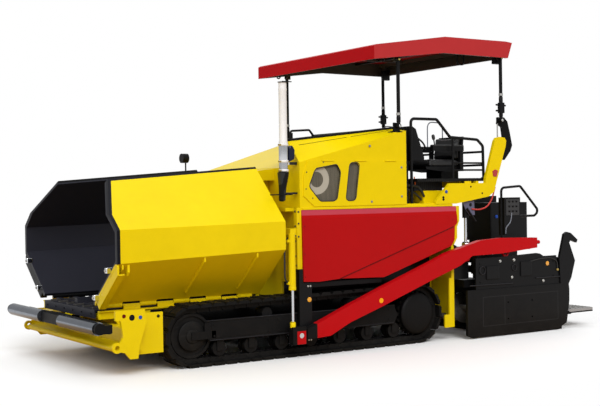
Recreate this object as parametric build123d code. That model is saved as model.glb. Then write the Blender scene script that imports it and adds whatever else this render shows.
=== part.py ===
"""Tracked asphalt paver with a hydraulic extending screed.

Units are millimetres. X points forward to the hopper, Y to the machine's left, Z up.
The origin lies on the ground, midway between the push rollers and the rear walkway.
Each sub-part is written to parts/NODE.step.
"""
import math
import os

from build123d import *

os.makedirs("parts", exist_ok=True)

# ---------------------------------------------------------------- driving dimensions
HALF_LENGTH = 3425          # push roller face to origin, and origin to rear walkway
HALF_WIDTH = 1275           # basic paving width 2.55 m: screed ends, tow arms and wings
FIT = 0.3                   # gap between pieces that seat on each other
PIN_FIT = 0.05              # radial clearance of pins and rods
CLEAR = 8                   # gap between pieces that move past each other
SHEET = 12                  # panel sheet
PLATE = 25                  # frame plate

# hopper
HOPPER_FRONT = 3185
WING_REAR = 1270
WING_SHEET = 30
LINER_SHEET = 18
WING_HINGE_Y = 700
WING_HINGE_Z = 651
WING_TOP_Y = 676
WING_SIDE_LOW = {"front": 1105, "rear": 1167}
WING_SIDE_HIGH = {"front": 1428, "rear": 1462}
WING_TOP_Z = {"front": 1917, "rear": 2050}
WING_RAKE = 170             # how far the wing's top corner lies behind its front edge
WING_RAKE_START = 1576      # height at which the front edge starts to rake back
HINGE_PIN_R = 16
HINGE_KNUCKLES = 9
FLOOR_Z = 618
FLOOR_Y = 688
SLAT_PITCH = 190

# chassis
FRAME_Y = 760               # outer face of the frame's side plates
FRAME_BOTTOM = 195
FRAME_TOP = 610
FRAME_REAR = -1140
NOSE_BOTTOM = 526           # underside of the frame's nose ahead of the bumper
NOSE_BACK = 2985

# push rollers and bumper
ROLLER_R = 65
ROLLER_Z = 490
ROLLER_INNER = 272
ROLLER_OUTER = 1200
BEAM_FRONT = 3255
BEAM_BACK = 3188
BEAM_Z = (432, 512)
BEAM_Y = 1140
SWIVEL_PIN_R = 30
BUMPER_FRONT = 3120
BUMPER_BACK = 2935
BUMPER_Y = 1230
BUMPER_TUBE_R = 30
BUMPER_TUBE_X = 3180
BUMPER_TUBE_Z = 279

# tracks
TRACK_Y = (830, 1130)
IDLER_X = 2289
IDLER_RIM = 320             # outside of the shoes round the idler
SPROCKET_X = -631
SPROCKET_RIM = 345
SHOE_T = 34
SHOE_COUNT = 52
SHOE_GAP = 18
CHAIN_T = 56
LOWER_ROLLERS = 7
ROLLER_WHEEL_R = 82

# tractor body and hood
BODY_FRONT = 1005
BODY_REAR = -1140
BODY_Y = 1150
BODY_DECK = 1600
HOOD_REAR = -460
HOOD_NOSE = 1124
HOOD_EDGE_Y = 930           # edge of the walkway on the left of the hood
COVER_INNER_Y = 770
HOOD_LEFT = {"front": (2087, 2322), "rear": (2450, 2482)}
HOOD_RIGHT = {"front": (1880, 2036), "rear": (2390, 2482)}
PANEL_Y = 1175              # outer face of the red side panels
STACK_X = 1168
STACK_Y = 1092
STACK_R = 40
STACK_TOP = 2940

# operator's platform
DECK_Z = 1900
DECK_FRONT = -670
DECK_REAR = -1740
SEAT_Y = 730
PLATFORM_Y = (1128, 1168)
RAIL_R = 17

# canopy
CANOPY_FRONT = 47
CANOPY_RIDGE = -987
CANOPY_REAR = -2051
CANOPY_Y = 1240
CANOPY_FRONT_TOP = 3396
CANOPY_TOP = 3545
CANOPY_RIM = 160
POST_Y = 1165
POST_R = 21
POST_EAR_Y = (POST_Y - POST_R - CLEAR - 22, POST_Y - POST_R - CLEAR)
FRONT_POST_X = -344
FRONT_POST_FOOT = 2500
REAR_POST_X = -1925
REAR_POST_FOOT = 2600
POST_LENGTH = 760

# tow arms and levelling
ARM_Y = (1190, 1275)
TOW_X = 1085
TOW_Z = 245
TOW_PIN_R = 25
LEVEL_X = 1170
LEVEL_ROD_R = 16
LEVEL_BARREL_R = 38
LIFT_X = -1400
LIFT_Y = 1085
LIFT_TOP = 1826
LIFT_EYE = 1110
LIFT_ROD_R = 17
LIFT_BARREL_R = 36

# augers
AUGER_X = -1500
AUGER_Z = 330
AUGER_R = 180
AUGER_SHAFT_R = 38
AUGER_INNER = 110
AUGER_OUTER = 1130
AUGER_PITCH = 255

# screed
SCREED_FRONT = -1920
SCREED_SPLIT = -2380
SCREED_BACK = -2860
SCREED_HEIGHT = 560
EXT_INNER = 25
EXT_OUTER = 1225
GUIDE_TUBE_R = 36
SOLE_T = 22
END_PLATE_Y = (1240, 1275)
WALK_FRONT = -2985
WALK_Z = 232


# ---------------------------------------------------------------- helpers
def block(x, y, z):
    """Box from three (low, high) pairs."""
    size = [high - low for low, high in (x, y, z)]
    middle = [(high + low) / 2 for low, high in (x, y, z)]
    return Pos(*middle) * Box(*size)


def side_plate(outline, y):
    """Outline of (x, z) points in the XZ plane, given its thickness along Y."""
    face = make_face(Polyline(*[(px, y[0], pz) for px, pz in outline], close=True))
    return extrude(face, y[1] - y[0], dir=(0, 1, 0))


def cross_plate(outline, x):
    """Outline of (y, z) points in the YZ plane, given its thickness along X."""
    face = make_face(Polyline(*[(x[0], py, pz) for py, pz in outline], close=True))
    return extrude(face, x[1] - x[0], dir=(1, 0, 0))


def rod(start, end, radius):
    """Solid round bar between two points."""
    a, b = Vector(*start), Vector(*end)
    return Plane(a, z_dir=b - a) * Cylinder(
        radius, (b - a).length, align=(Align.CENTER, Align.CENTER, Align.MIN)
    )


def pipe(start, end, radius, bore):
    """Round bar with a bore."""
    return rod(start, end, radius) - rod(start, end, bore)


def rail(points, radius, bend=70):
    """Bent round tube through the points, with one bend radius."""
    path = FilletPolyline(*points, radius=bend)
    start = Plane(origin=path @ 0, z_dir=path % 0)
    return sweep(start * Circle(radius), path=path)


def both(shape):
    """The shape and its mirror image on the machine's other side."""
    return [shape, mirror(shape, about=Plane.XZ)]


def group(*shapes):
    """One node of solids that do not touch."""
    solids = []
    for shape in shapes:
        solids.extend(shape.solids())
    return Compound(solids)


def save(name, shape):
    export_step(shape, f"parts/{name}.step")


def save_pair(name, shape):
    """A left piece and its mirrored right piece as two nodes."""
    save(f"{name}_left", shape)
    save(f"{name}_right", mirror(shape, about=Plane.XZ))


def inset(outline, distance):
    """The open outline of (y, z) points moved to its left by the distance, with mitred corners."""
    moved = []
    last = len(outline) - 1
    for i, (py, pz) in enumerate(outline):
        normals = []
        for j in (i - 1, i):
            if 0 <= j < last:
                dy = outline[j + 1][0] - outline[j][0]
                dz = outline[j + 1][1] - outline[j][1]
                run = math.hypot(dy, dz)
                normals.append((-dz / run, dy / run))
        ny = sum(n[0] for n in normals)
        nz = sum(n[1] for n in normals)
        scale = len(normals) * distance / (ny * ny + nz * nz)
        if len(normals) == 1:
            scale = distance
        moved.append((py + ny * scale, pz + nz * scale))
    return moved


# ---------------------------------------------------------------- hopper
def wing_outline(end):
    return [
        (WING_HINGE_Y, WING_HINGE_Z),
        (HALF_WIDTH, WING_SIDE_LOW[end]),
        (HALF_WIDTH, WING_SIDE_HIGH[end]),
        (WING_TOP_Y, WING_TOP_Z[end]),
    ]


def wing_shell(outer, inner):
    """Ruled plate between two insets of the wing's outline."""
    sections = []
    for end, x in (("front", HOPPER_FRONT), ("rear", WING_REAR)):
        outline = wing_outline(end)
        loop = inset(outline, outer) + inset(outline, inner)[::-1]
        sections.append(make_face(Polyline(*[(x, py, pz) for py, pz in loop], close=True)))
    shell = loft(sections, ruled=True)
    over = WING_TOP_Z["front"] + 400
    reach = WING_RAKE * (over - WING_RAKE_START) / (WING_TOP_Z["front"] - WING_RAKE_START)
    rake = side_plate(
        [
            (HOPPER_FRONT, WING_RAKE_START),
            (HOPPER_FRONT - reach, over),
            (HOPPER_FRONT + 50, over),
            (HOPPER_FRONT + 50, WING_RAKE_START),
        ],
        (0, 1400),
    )
    return shell - rake


def hinge_spans():
    """Start and end of each hinge knuckle along the wing."""
    run = HOPPER_FRONT - WING_REAR - 200
    pitch = run / HINGE_KNUCKLES
    return [(WING_REAR + 100 + i * pitch, WING_REAR + 100 + (i + 1) * pitch - 6) for i in range(HINGE_KNUCKLES)]


def make_hopper():
    wing = wing_shell(0, WING_SHEET)
    gusset = inset(wing_outline("rear"), WING_SHEET / 2)
    foot, low, high, top = gusset
    wing += cross_plate([(foot[0] + 40, foot[1] + 40 * 0.897), low, high, (top[0] + 30, top[1] - 30 * 0.982)], (WING_REAR, WING_REAR + SHEET))
    for x in (HOPPER_FRONT - 60, WING_REAR + 340, (HOPPER_FRONT + WING_REAR) / 2):
        share = (HOPPER_FRONT - x) / (HOPPER_FRONT - WING_REAR)
        side_low = WING_SIDE_LOW["front"] + share * (WING_SIDE_LOW["rear"] - WING_SIDE_LOW["front"])
        climb = (side_low - WING_HINGE_Z) / (HALF_WIDTH - WING_HINGE_Y)
        foot_z = side_low - 12 * climb
        wing += cross_plate(
            [
                (WING_HINGE_Y + 110, WING_HINGE_Z + 110 * climb + 8),
                (HALF_WIDTH - 12, foot_z + 8),
                (HALF_WIDTH - 12, foot_z - 46),
                (WING_HINGE_Y + 150, WING_HINGE_Z + 150 * climb - 40),
            ],
            (x - 8, x + 8),
        )
    hinge = (WING_HINGE_Y + 6, WING_HINGE_Z + 2)
    for index, (low, high) in enumerate(hinge_spans()):
        if index % 2 == 0:
            wing += rod((low, *hinge), (high, *hinge), HINGE_PIN_R + 10)
        else:
            wing -= block((low - 6, high + 6), (hinge[0] - 36, hinge[0] + 36), (hinge[1] - 34, hinge[1] + 36))
    wing -= rod((WING_REAR - 5, *hinge), (HOPPER_FRONT + 5, *hinge), HINGE_PIN_R + PIN_FIT)
    save_pair("hopper_wing", wing)
    liner = wing_shell(WING_SHEET, WING_SHEET + LINER_SHEET)
    liner -= block((WING_REAR - 1, WING_REAR + SHEET + FIT), (600, 1300), (600, 2200))
    save_pair("wing_liner", liner)

    slats = []
    for side in (-1, 1):
        span = sorted((side * 60, side * (FLOOR_Y - 30)))
        x = WING_REAR + 40
        while x < HOPPER_FRONT - 60:
            slats.append(block((x, x + 38), span, (FLOOR_Z, FLOOR_Z + 22)))
            x += SLAT_PITCH
    floor = block((BODY_FRONT + 130, HOPPER_FRONT - 20), (-FLOOR_Y, FLOOR_Y), (FLOOR_Z - 16, FLOOR_Z))
    ridge = cross_plate(
        [(-48, FLOOR_Z), (48, FLOOR_Z), (30, FLOOR_Z + 70), (-30, FLOOR_Z + 70)],
        (WING_REAR - 20, HOPPER_FRONT - 90),
    )
    for shape in slats + [ridge]:
        floor += shape
    flap = cross_plate(
        [(-FLOOR_Y, FLOOR_Z), (FLOOR_Y, FLOOR_Z), (FLOOR_Y, NOSE_BOTTOM + 4), (-FLOOR_Y, NOSE_BOTTOM + 4)],
        (HOPPER_FRONT - 20, HOPPER_FRONT - 4),
    )
    save("conveyor_floor", floor + flap)
    wall_top = 1900 - FIT
    wall = cross_plate(
        [(-640, FLOOR_Z + FIT), (640, FLOOR_Z + FIT), (640, wall_top), (-640, wall_top)],
        (WING_REAR - 45, WING_REAR - 25),
    )
    for side in (-1, 1):
        tunnel = sorted((side * 70, side * 600))
        wall -= block((WING_REAR - 60, WING_REAR), tunnel, (FLOOR_Z, FLOOR_Z + 330))
    for y in (-500, 0, 500):
        wall += block((BODY_FRONT + FIT, WING_REAR - 45), (y - 12, y + 12), (1050, wall_top))
    save("hopper_rear_wall", wall)


# ---------------------------------------------------------------- chassis
def make_chassis():
    plate_y = (FRAME_Y - PLATE, FRAME_Y)
    outline = [
        (HOPPER_FRONT - 22, FRAME_TOP),
        (HOPPER_FRONT - 22, NOSE_BOTTOM),
        (NOSE_BACK, NOSE_BOTTOM),
        (BUMPER_BACK - 60, FRAME_BOTTOM),
        (FRAME_REAR, FRAME_BOTTOM),
        (FRAME_REAR, FRAME_TOP),
    ]
    plate = side_plate(outline, plate_y)
    frame = plate + mirror(plate, about=Plane.XZ)
    inner = FRAME_Y - PLATE
    cross_bars = [
        (HOPPER_FRONT - 60, HOPPER_FRONT - 36, NOSE_BOTTOM + 12, FLOOR_Z - 16 - FIT),
        (2600, 2640, FRAME_BOTTOM, FLOOR_Z - 16 - FIT),
        (1700, 1740, 300, FLOOR_Z - 16 - FIT),
        (1060, 1100, FRAME_BOTTOM, FLOOR_Z - 16 - FIT),
        (200, 240, FRAME_BOTTOM, 560),
        (FRAME_REAR, FRAME_REAR + PLATE, 420, FRAME_TOP),
    ]
    for low, high, bottom, top in cross_bars:
        frame += block((low, high), (-inner, inner), (bottom, top))
    frame += block((FRAME_REAR, 1060), (-inner, inner), (FRAME_TOP - 50, FRAME_TOP - 34))
    flange = block((BODY_FRONT + 20, HOPPER_FRONT - 22), (FRAME_Y - PLATE - 30, FRAME_Y + 24), (FRAME_TOP - 12, FRAME_TOP))
    hinge = (WING_HINGE_Y + 6, WING_HINGE_Z + 2)
    for index, (low, high) in enumerate(hinge_spans()):
        if index % 2:
            flange += block((low, high), (hinge[0] - 10, hinge[0] + 40), (FRAME_TOP - 1, hinge[1] - 6))
            flange += rod((low, *hinge), (high, *hinge), HINGE_PIN_R + 10)
    flange += rod((WING_REAR + 104, *hinge), (HOPPER_FRONT - 110, *hinge), HINGE_PIN_R)
    for shape in both(flange):
        frame += shape
    axle_y = (FRAME_Y, TRACK_Y[0] + 70)
    for x in (IDLER_X - 640, 200):
        for shape in both(block((x - 130, x + 130), axle_y, (270, 430))):
            frame += shape
    hanger = block((FRAME_REAR - 60, FRAME_REAR + 1), (-360, 360), (440, 600))
    for side in (-1, 1):
        rail_y = sorted((side * 200, side * 260))
        hanger += block((FRAME_REAR - 90, FRAME_REAR - 60), rail_y, (300, 900))
    save("chassis_frame", frame + hanger)

    beam = block((2990, 3075), (-BUMPER_Y + 40, BUMPER_Y - 40), (250, 470))
    beam += block((3075, 3075 + 20), (-520, 520), (300, 420))
    for shape in both(block((2900, 3000), (FRAME_Y + FIT, BUMPER_Y - 40), (250, 470))):
        beam += shape
    end = side_plate(
        [
            (BUMPER_FRONT + 76, 650),
            (BUMPER_FRONT + 76, 556),
            (BUMPER_FRONT + 22, 552),
            (BUMPER_FRONT, 430),
            (BUMPER_FRONT - 4, 260),
            (BUMPER_FRONT - 75, 174),
            (BUMPER_BACK + 26, 174),
            (BUMPER_BACK + 7, 305),
            (BUMPER_BACK - 49, 466),
            (BUMPER_BACK - 65, 543),
            (BUMPER_BACK - 51, 650),
        ],
        (BUMPER_Y - 30, BUMPER_Y),
    )
    holes = [(BUMPER_FRONT - 14, 595, 20), (BUMPER_FRONT - 98, 576, 30), (BUMPER_BACK - 3, 573, 20)]
    for x, z, radius in holes:
        end -= rod((x, BUMPER_Y - 60, z), (x, BUMPER_Y + 20, z), radius)
    for shape in both(end):
        beam += shape
    beam -= block((BUMPER_BACK - 80, BUMPER_FRONT + 90), (-BUMPER_Y - 1, -BUMPER_Y + 31), (480, 700))
    for shape in both(block((IDLER_X + IDLER_RIM + 31, 2930), (1100, 1125), (197, 600))):
        beam += shape
    tube = rod((BUMPER_TUBE_X, -BUMPER_Y, BUMPER_TUBE_Z), (BUMPER_TUBE_X, BUMPER_Y, BUMPER_TUBE_Z), BUMPER_TUBE_R)
    apron = side_plate(
        [(3070, 330), (3070, 300), (BUMPER_TUBE_X, BUMPER_TUBE_Z + 8), (BUMPER_TUBE_X, BUMPER_TUBE_Z + 24)],
        (-BUMPER_Y + 40, BUMPER_Y - 40),
    )
    beam += tube
    beam += apron
    for shape in both(
        rod((BUMPER_TUBE_X, BUMPER_Y - 30, BUMPER_TUBE_Z + 14), (BUMPER_TUBE_X, BUMPER_Y, BUMPER_TUBE_Z + 14), 52)
    ):
        beam += shape
    for shape in both(
        side_plate(
            [(3100, 420), (3100, 240), (BUMPER_TUBE_X - 30, BUMPER_TUBE_Z - 30), (BUMPER_TUBE_X - 30, BUMPER_TUBE_Z + 60)],
            (BUMPER_Y - 30, BUMPER_Y),
        )
    ):
        beam += shape
    for shape in both(
        rod((BUMPER_TUBE_X, BUMPER_Y - 60, BUMPER_TUBE_Z + 14), (BUMPER_TUBE_X, BUMPER_Y + 5, BUMPER_TUBE_Z + 14), 24)
    ):
        beam -= shape
    pin_x = BEAM_BACK - 50
    for z in (BEAM_Z[0] - 36, BEAM_Z[1] + 8):
        ear = block((3075, pin_x + 45), (-90, 90), (z, z + 28))
        if z > BEAM_Z[0]:
            ear = block((3040, pin_x + 45), (-90, 90), (z - 2, z + 10)) + block((3040, 3075), (-90, 90), (460, z + 10))
        beam += ear
    beam += rod((pin_x, 0, BEAM_Z[0] - 40), (pin_x, 0, BEAM_Z[1] + 18), SWIVEL_PIN_R)
    save("front_bumper", beam)


def make_push_rollers():
    axis_x = HALF_LENGTH - ROLLER_R
    pin_x = BEAM_BACK - 50
    beam = block((BEAM_BACK, BEAM_FRONT), (-BEAM_Y, BEAM_Y), BEAM_Z)
    beam += block((pin_x - 44, BEAM_BACK), (-70, 70), BEAM_Z)
    beam -= rod((pin_x, 0, BEAM_Z[0] - 5), (pin_x, 0, BEAM_Z[1] + 5), SWIVEL_PIN_R + PIN_FIT)
    beam += block((BEAM_FRONT, axis_x + 20), (-ROLLER_INNER + CLEAR, ROLLER_INNER - CLEAR), (ROLLER_Z - 55, ROLLER_Z + 48))
    cap_y = (ROLLER_OUTER + CLEAR, ROLLER_OUTER + 46)
    for shape in both(block((BEAM_FRONT - 15, axis_x), cap_y, (ROLLER_Z - 50, ROLLER_Z + 30))):
        beam += shape
    for shape in both(rod((axis_x, cap_y[0], ROLLER_Z), (axis_x, cap_y[1], ROLLER_Z), 56)):
        beam += shape
    for shape in both(block((BEAM_FRONT - 15, BEAM_FRONT + 10), (BEAM_Y - 1, ROLLER_OUTER + CLEAR + 1), BEAM_Z)):
        beam += shape
    for shape in both(rod((axis_x, ROLLER_INNER - 60, ROLLER_Z), (axis_x, ROLLER_OUTER + 30, ROLLER_Z), 18)):
        beam += shape
    save("push_beam", beam)
    roller = rod((axis_x, ROLLER_INNER, ROLLER_Z), (axis_x, ROLLER_OUTER, ROLLER_Z), ROLLER_R)
    roller -= rod((axis_x, ROLLER_INNER - 1, ROLLER_Z), (axis_x, ROLLER_OUTER + 1, ROLLER_Z), 18 + PIN_FIT)
    save_pair("push_roller", roller)


# ---------------------------------------------------------------- tracks
def belt_lean():
    """Angle of the loop's top run, which climbs to the larger rear wheel."""
    return 2 * math.atan((SPROCKET_RIM - IDLER_RIM) / (IDLER_X - SPROCKET_X))


def belt_face(grow):
    """Side view of the track's loop, moved inwards by the given distance."""
    lean = belt_lean()
    face = None
    corners = []
    for x, rim in ((IDLER_X, IDLER_RIM), (SPROCKET_X, SPROCKET_RIM)):
        radius = rim - grow
        disc = Pos(x, rim) * Circle(radius)
        face = disc if face is None else face + disc
        corners.append(((x + radius * math.sin(lean), rim + radius * math.cos(lean)), (x, grow)))
    return face + make_face(Polyline(corners[0][0], corners[0][1], corners[1][1], corners[1][0], close=True))


def belt_station(distance):
    """Point, heading and length of the loop's chain line, at a distance round it."""
    lean = belt_lean()
    run = IDLER_X - SPROCKET_X
    front_r = IDLER_RIM - SHOE_T
    rear_r = SPROCKET_RIM - SHOE_T
    front_arc = front_r * (math.pi - lean)
    rear_arc = rear_r * (math.pi + lean)
    total = 2 * run + front_arc + rear_arc
    s = distance % total
    if s < run:
        return (SPROCKET_X + s, SHOE_T), 0, total
    s -= run
    if s < front_arc:
        angle = s / front_r - math.pi / 2
        return (IDLER_X + front_r * math.cos(angle), IDLER_RIM + front_r * math.sin(angle)), angle + math.pi / 2, total
    s -= front_arc
    if s < run:
        start = (IDLER_X + front_r * math.sin(lean), IDLER_RIM + front_r * math.cos(lean))
        return (start[0] - s * math.cos(lean), start[1] + s * math.sin(lean)), math.pi - lean, total
    s -= run
    angle = math.pi / 2 - lean + s / rear_r
    return (SPROCKET_X + rear_r * math.cos(angle), SPROCKET_RIM + rear_r * math.sin(angle)), angle + math.pi / 2, total


def make_tracks():
    band = belt_face(SHOE_T) - belt_face(SHOE_T + CHAIN_T)
    total = belt_station(0)[2]
    pitch = total / SHOE_COUNT
    for i in range(SHOE_COUNT):
        (x, z), heading, _ = belt_station((i + 0.5) * pitch)
        pad = Pos(x, z) * Rot(0, 0, math.degrees(heading)) * Pos(0, -SHOE_T / 2 + 2) * Rectangle(pitch - SHOE_GAP, SHOE_T + 3.8)
        band += pad
    flat = Plane(origin=(0, TRACK_Y[1], 0), x_dir=(1, 0, 0), z_dir=(0, -1, 0))
    track = extrude(flat * band, TRACK_Y[1] - TRACK_Y[0])
    track -= block((-1200, 2800), (TRACK_Y[0] - 5, TRACK_Y[1] + 5), (-60, 0))
    save_pair("track", track)

    chain_top = SHOE_T + CHAIN_T + FIT
    beam_z = (250, 450)
    beam = side_plate(
        [
            (IDLER_X - 330, beam_z[0]),
            (IDLER_X - 250, beam_z[0] + 60),
            (IDLER_X - 250, beam_z[1] - 30),
            (IDLER_X - 330, beam_z[1]),
            (SPROCKET_X + 330, beam_z[1]),
            (SPROCKET_X + 280, beam_z[0] + 100),
            (SPROCKET_X + 330, beam_z[0]),
        ],
        (TRACK_Y[0] + 70, TRACK_Y[1] - 40),
    )
    yoke = block((IDLER_X - 260, IDLER_X + 20), (TRACK_Y[1] - 42, TRACK_Y[1] - 22), (IDLER_RIM - 40, IDLER_RIM + 40))
    yoke_in = block((IDLER_X - 260, IDLER_X + 20), (TRACK_Y[0] + 52, TRACK_Y[0] + 72), (IDLER_RIM - 40, IDLER_RIM + 40))
    motor_plate = block((SPROCKET_X - 30, SPROCKET_X + 300), (TRACK_Y[0] + 52, TRACK_Y[0] + 72), (IDLER_RIM - 70, IDLER_RIM + 100))
    beam += yoke
    beam += yoke_in
    beam += motor_plate
    run = IDLER_X - SPROCKET_X - 640
    for i in range(LOWER_ROLLERS):
        x = SPROCKET_X + 320 + run * i / (LOWER_ROLLERS - 1)
        z = chain_top + ROLLER_WHEEL_R
        beam += rod((x, TRACK_Y[0] + 80, z), (x, TRACK_Y[1] - 50, z), 28)
        beam += block((x - 34, x + 34), (TRACK_Y[0] + 80, TRACK_Y[0] + 92), (z - 28, beam_z[0] + 1))
        beam += block((x - 34, x + 34), (TRACK_Y[1] - 62, TRACK_Y[1] - 50), (z - 28, beam_z[0] + 1))
        for low in (TRACK_Y[0] + 96, TRACK_Y[1] - 116):
            beam += rod((x, low, z), (x, low + 50, z), ROLLER_WHEEL_R)
    for x in (IDLER_X - 900, SPROCKET_X + 900):
        top = IDLER_RIM * 2 + (SPROCKET_RIM - IDLER_RIM) * 2 * (IDLER_X - x) / (IDLER_X - SPROCKET_X)
        z = top - SHOE_T - CHAIN_T - 62 - 14
        beam += rod((x, TRACK_Y[0] + 90, z), (x, TRACK_Y[1] - 60, z), 62)
        beam += block((x - 30, x + 30), (TRACK_Y[0] + 100, TRACK_Y[1] - 70), (beam_z[1] - 1, z))
    cover = side_plate(
        [(IDLER_X - 190, 262), (IDLER_X - 130, 300), (IDLER_X - 130, 440), (IDLER_X - 190, 452), (SPROCKET_X + 330, 468), (SPROCKET_X + 330, 250)],
        (TRACK_Y[1] - 40, TRACK_Y[1] - 26),
    )
    beam += cover
    save("track_frames", group(*both(beam)))

    idler_r = IDLER_RIM - SHOE_T - CHAIN_T - FIT
    idler = rod((IDLER_X, TRACK_Y[0] + 110, IDLER_RIM), (IDLER_X, TRACK_Y[1] - 76, IDLER_RIM), idler_r)
    for low in (TRACK_Y[0] + 100, TRACK_Y[1] - 96):
        idler -= pipe((IDLER_X, low, IDLER_RIM), (IDLER_X, low + 30, IDLER_RIM), idler_r - 28, 76)
    idler += rod((IDLER_X, TRACK_Y[0] + 72 + FIT, IDLER_RIM), (IDLER_X, TRACK_Y[1] - 42 - FIT, IDLER_RIM), 40)

    hub_r = SPROCKET_RIM - SHOE_T - CHAIN_T - FIT
    teeth = 21
    disc = Circle(hub_r - 26)
    for i in range(teeth):
        angle = 360 * i / teeth
        disc += Rot(0, 0, angle) * Pos(hub_r - 28, 0) * Rectangle(52, 34)
    stand = Plane(origin=(SPROCKET_X, TRACK_Y[0] + 150, SPROCKET_RIM), x_dir=(1, 0, 0), z_dir=(0, 1, 0))
    sprocket = extrude(stand * disc, 60)
    sprocket += rod((SPROCKET_X, TRACK_Y[0] + 72 + FIT, SPROCKET_RIM), (SPROCKET_X, TRACK_Y[1] - 50, SPROCKET_RIM), 150)
    sprocket += rod((SPROCKET_X, TRACK_Y[1] - 51, SPROCKET_RIM), (SPROCKET_X, TRACK_Y[1] - 20, SPROCKET_RIM), 96)
    save("track_wheels", group(*both(idler), *both(sprocket)))


# ---------------------------------------------------------------- body and hood
def make_body():
    inner = FRAME_Y - PLATE
    bay = block((BODY_REAR, BODY_FRONT), (-inner, inner), (FRAME_TOP + FIT, FRAME_TOP + 12))
    bay += block((BODY_FRONT - PLATE, BODY_FRONT), (-inner, inner), (FRAME_TOP + 11, BODY_DECK - 40))
    bay += block((BODY_REAR, BODY_REAR + PLATE), (-BODY_Y, BODY_Y), (720, BODY_DECK - 40))
    bay += block((BODY_FRONT - PLATE, BODY_FRONT), (-BODY_Y, BODY_Y), (790, BODY_DECK - 40))
    for shape in both(block((BODY_REAR, BODY_FRONT), (FRAME_Y - PLATE, FRAME_Y), (FRAME_TOP + FIT, BODY_DECK - 40))):
        bay += shape
    for shape in both(block((BODY_REAR, BODY_FRONT), (BODY_Y - 60, BODY_Y), (BODY_DECK - 42, BODY_DECK - FIT))):
        bay += shape
    flange = block((BODY_REAR - 14, BODY_REAR), (BODY_Y - 130, BODY_Y), (150, BODY_DECK - 40))
    flange += block((BODY_REAR - 1, BODY_REAR + 130), (BODY_Y - 22, BODY_Y), (150, 300))
    flange += block((BODY_REAR - 1, BODY_REAR + 60), (BODY_Y - 22, BODY_Y), (299, 730))
    for shape in both(flange):
        bay += shape
    for shape in both(block((BODY_FRONT, BODY_FRONT + 42), (BODY_Y - 60, BODY_Y), (940, BODY_DECK - 2))):
        bay += shape
    save("engine", block((-250, 620), (-380, 380), (FRAME_TOP + 12 + FIT, 1420)))
    tank = block((BODY_REAR + PLATE - 1, BODY_FRONT - PLATE + 1), (FRAME_Y - 1, BODY_Y - 40), (830, 1540))
    tank = fillet(tank.edges().filter_by(Axis.X), 40)
    tank -= side_plate(
        [(-1300, 700), (-1300, 1120), (BODY_REAR + PLATE + 20, 1120), (-40, 829), (-40, 700)],
        (700, 1300),
    )
    for shape in both(tank):
        bay += shape
    save("engine_bay", bay)

    # the red cover beside each tank: top band leaning in, diagonal lower rear edge
    panel = side_plate(
        [
            (990, 1480),
            (984, 804),
            (785, 794),
            (500, 812),
            (-100, 796),
            (-1098, 1108),
            (-1150, 1180),
            (-1158, 1340),
            (-1200, 1384),
            (-1190, 1480),
        ],
        (BODY_Y + FIT, PANEL_Y),
    )
    band = cross_plate(
        [(BODY_Y + FIT, 1479), (PANEL_Y, 1479), (PANEL_Y - 14, 1572), (BODY_Y + FIT, 1572)],
        (-1188, 990),
    )
    save_pair("side_panel", panel + band)


def hood_sections():
    """(x, left shoulder, left top, right shoulder, right top) at the nose and the rear."""
    return (
        (BODY_FRONT, *HOOD_LEFT["front"], *HOOD_RIGHT["front"]),
        (HOOD_REAR, *HOOD_LEFT["rear"], *HOOD_RIGHT["rear"]),
    )


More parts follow.
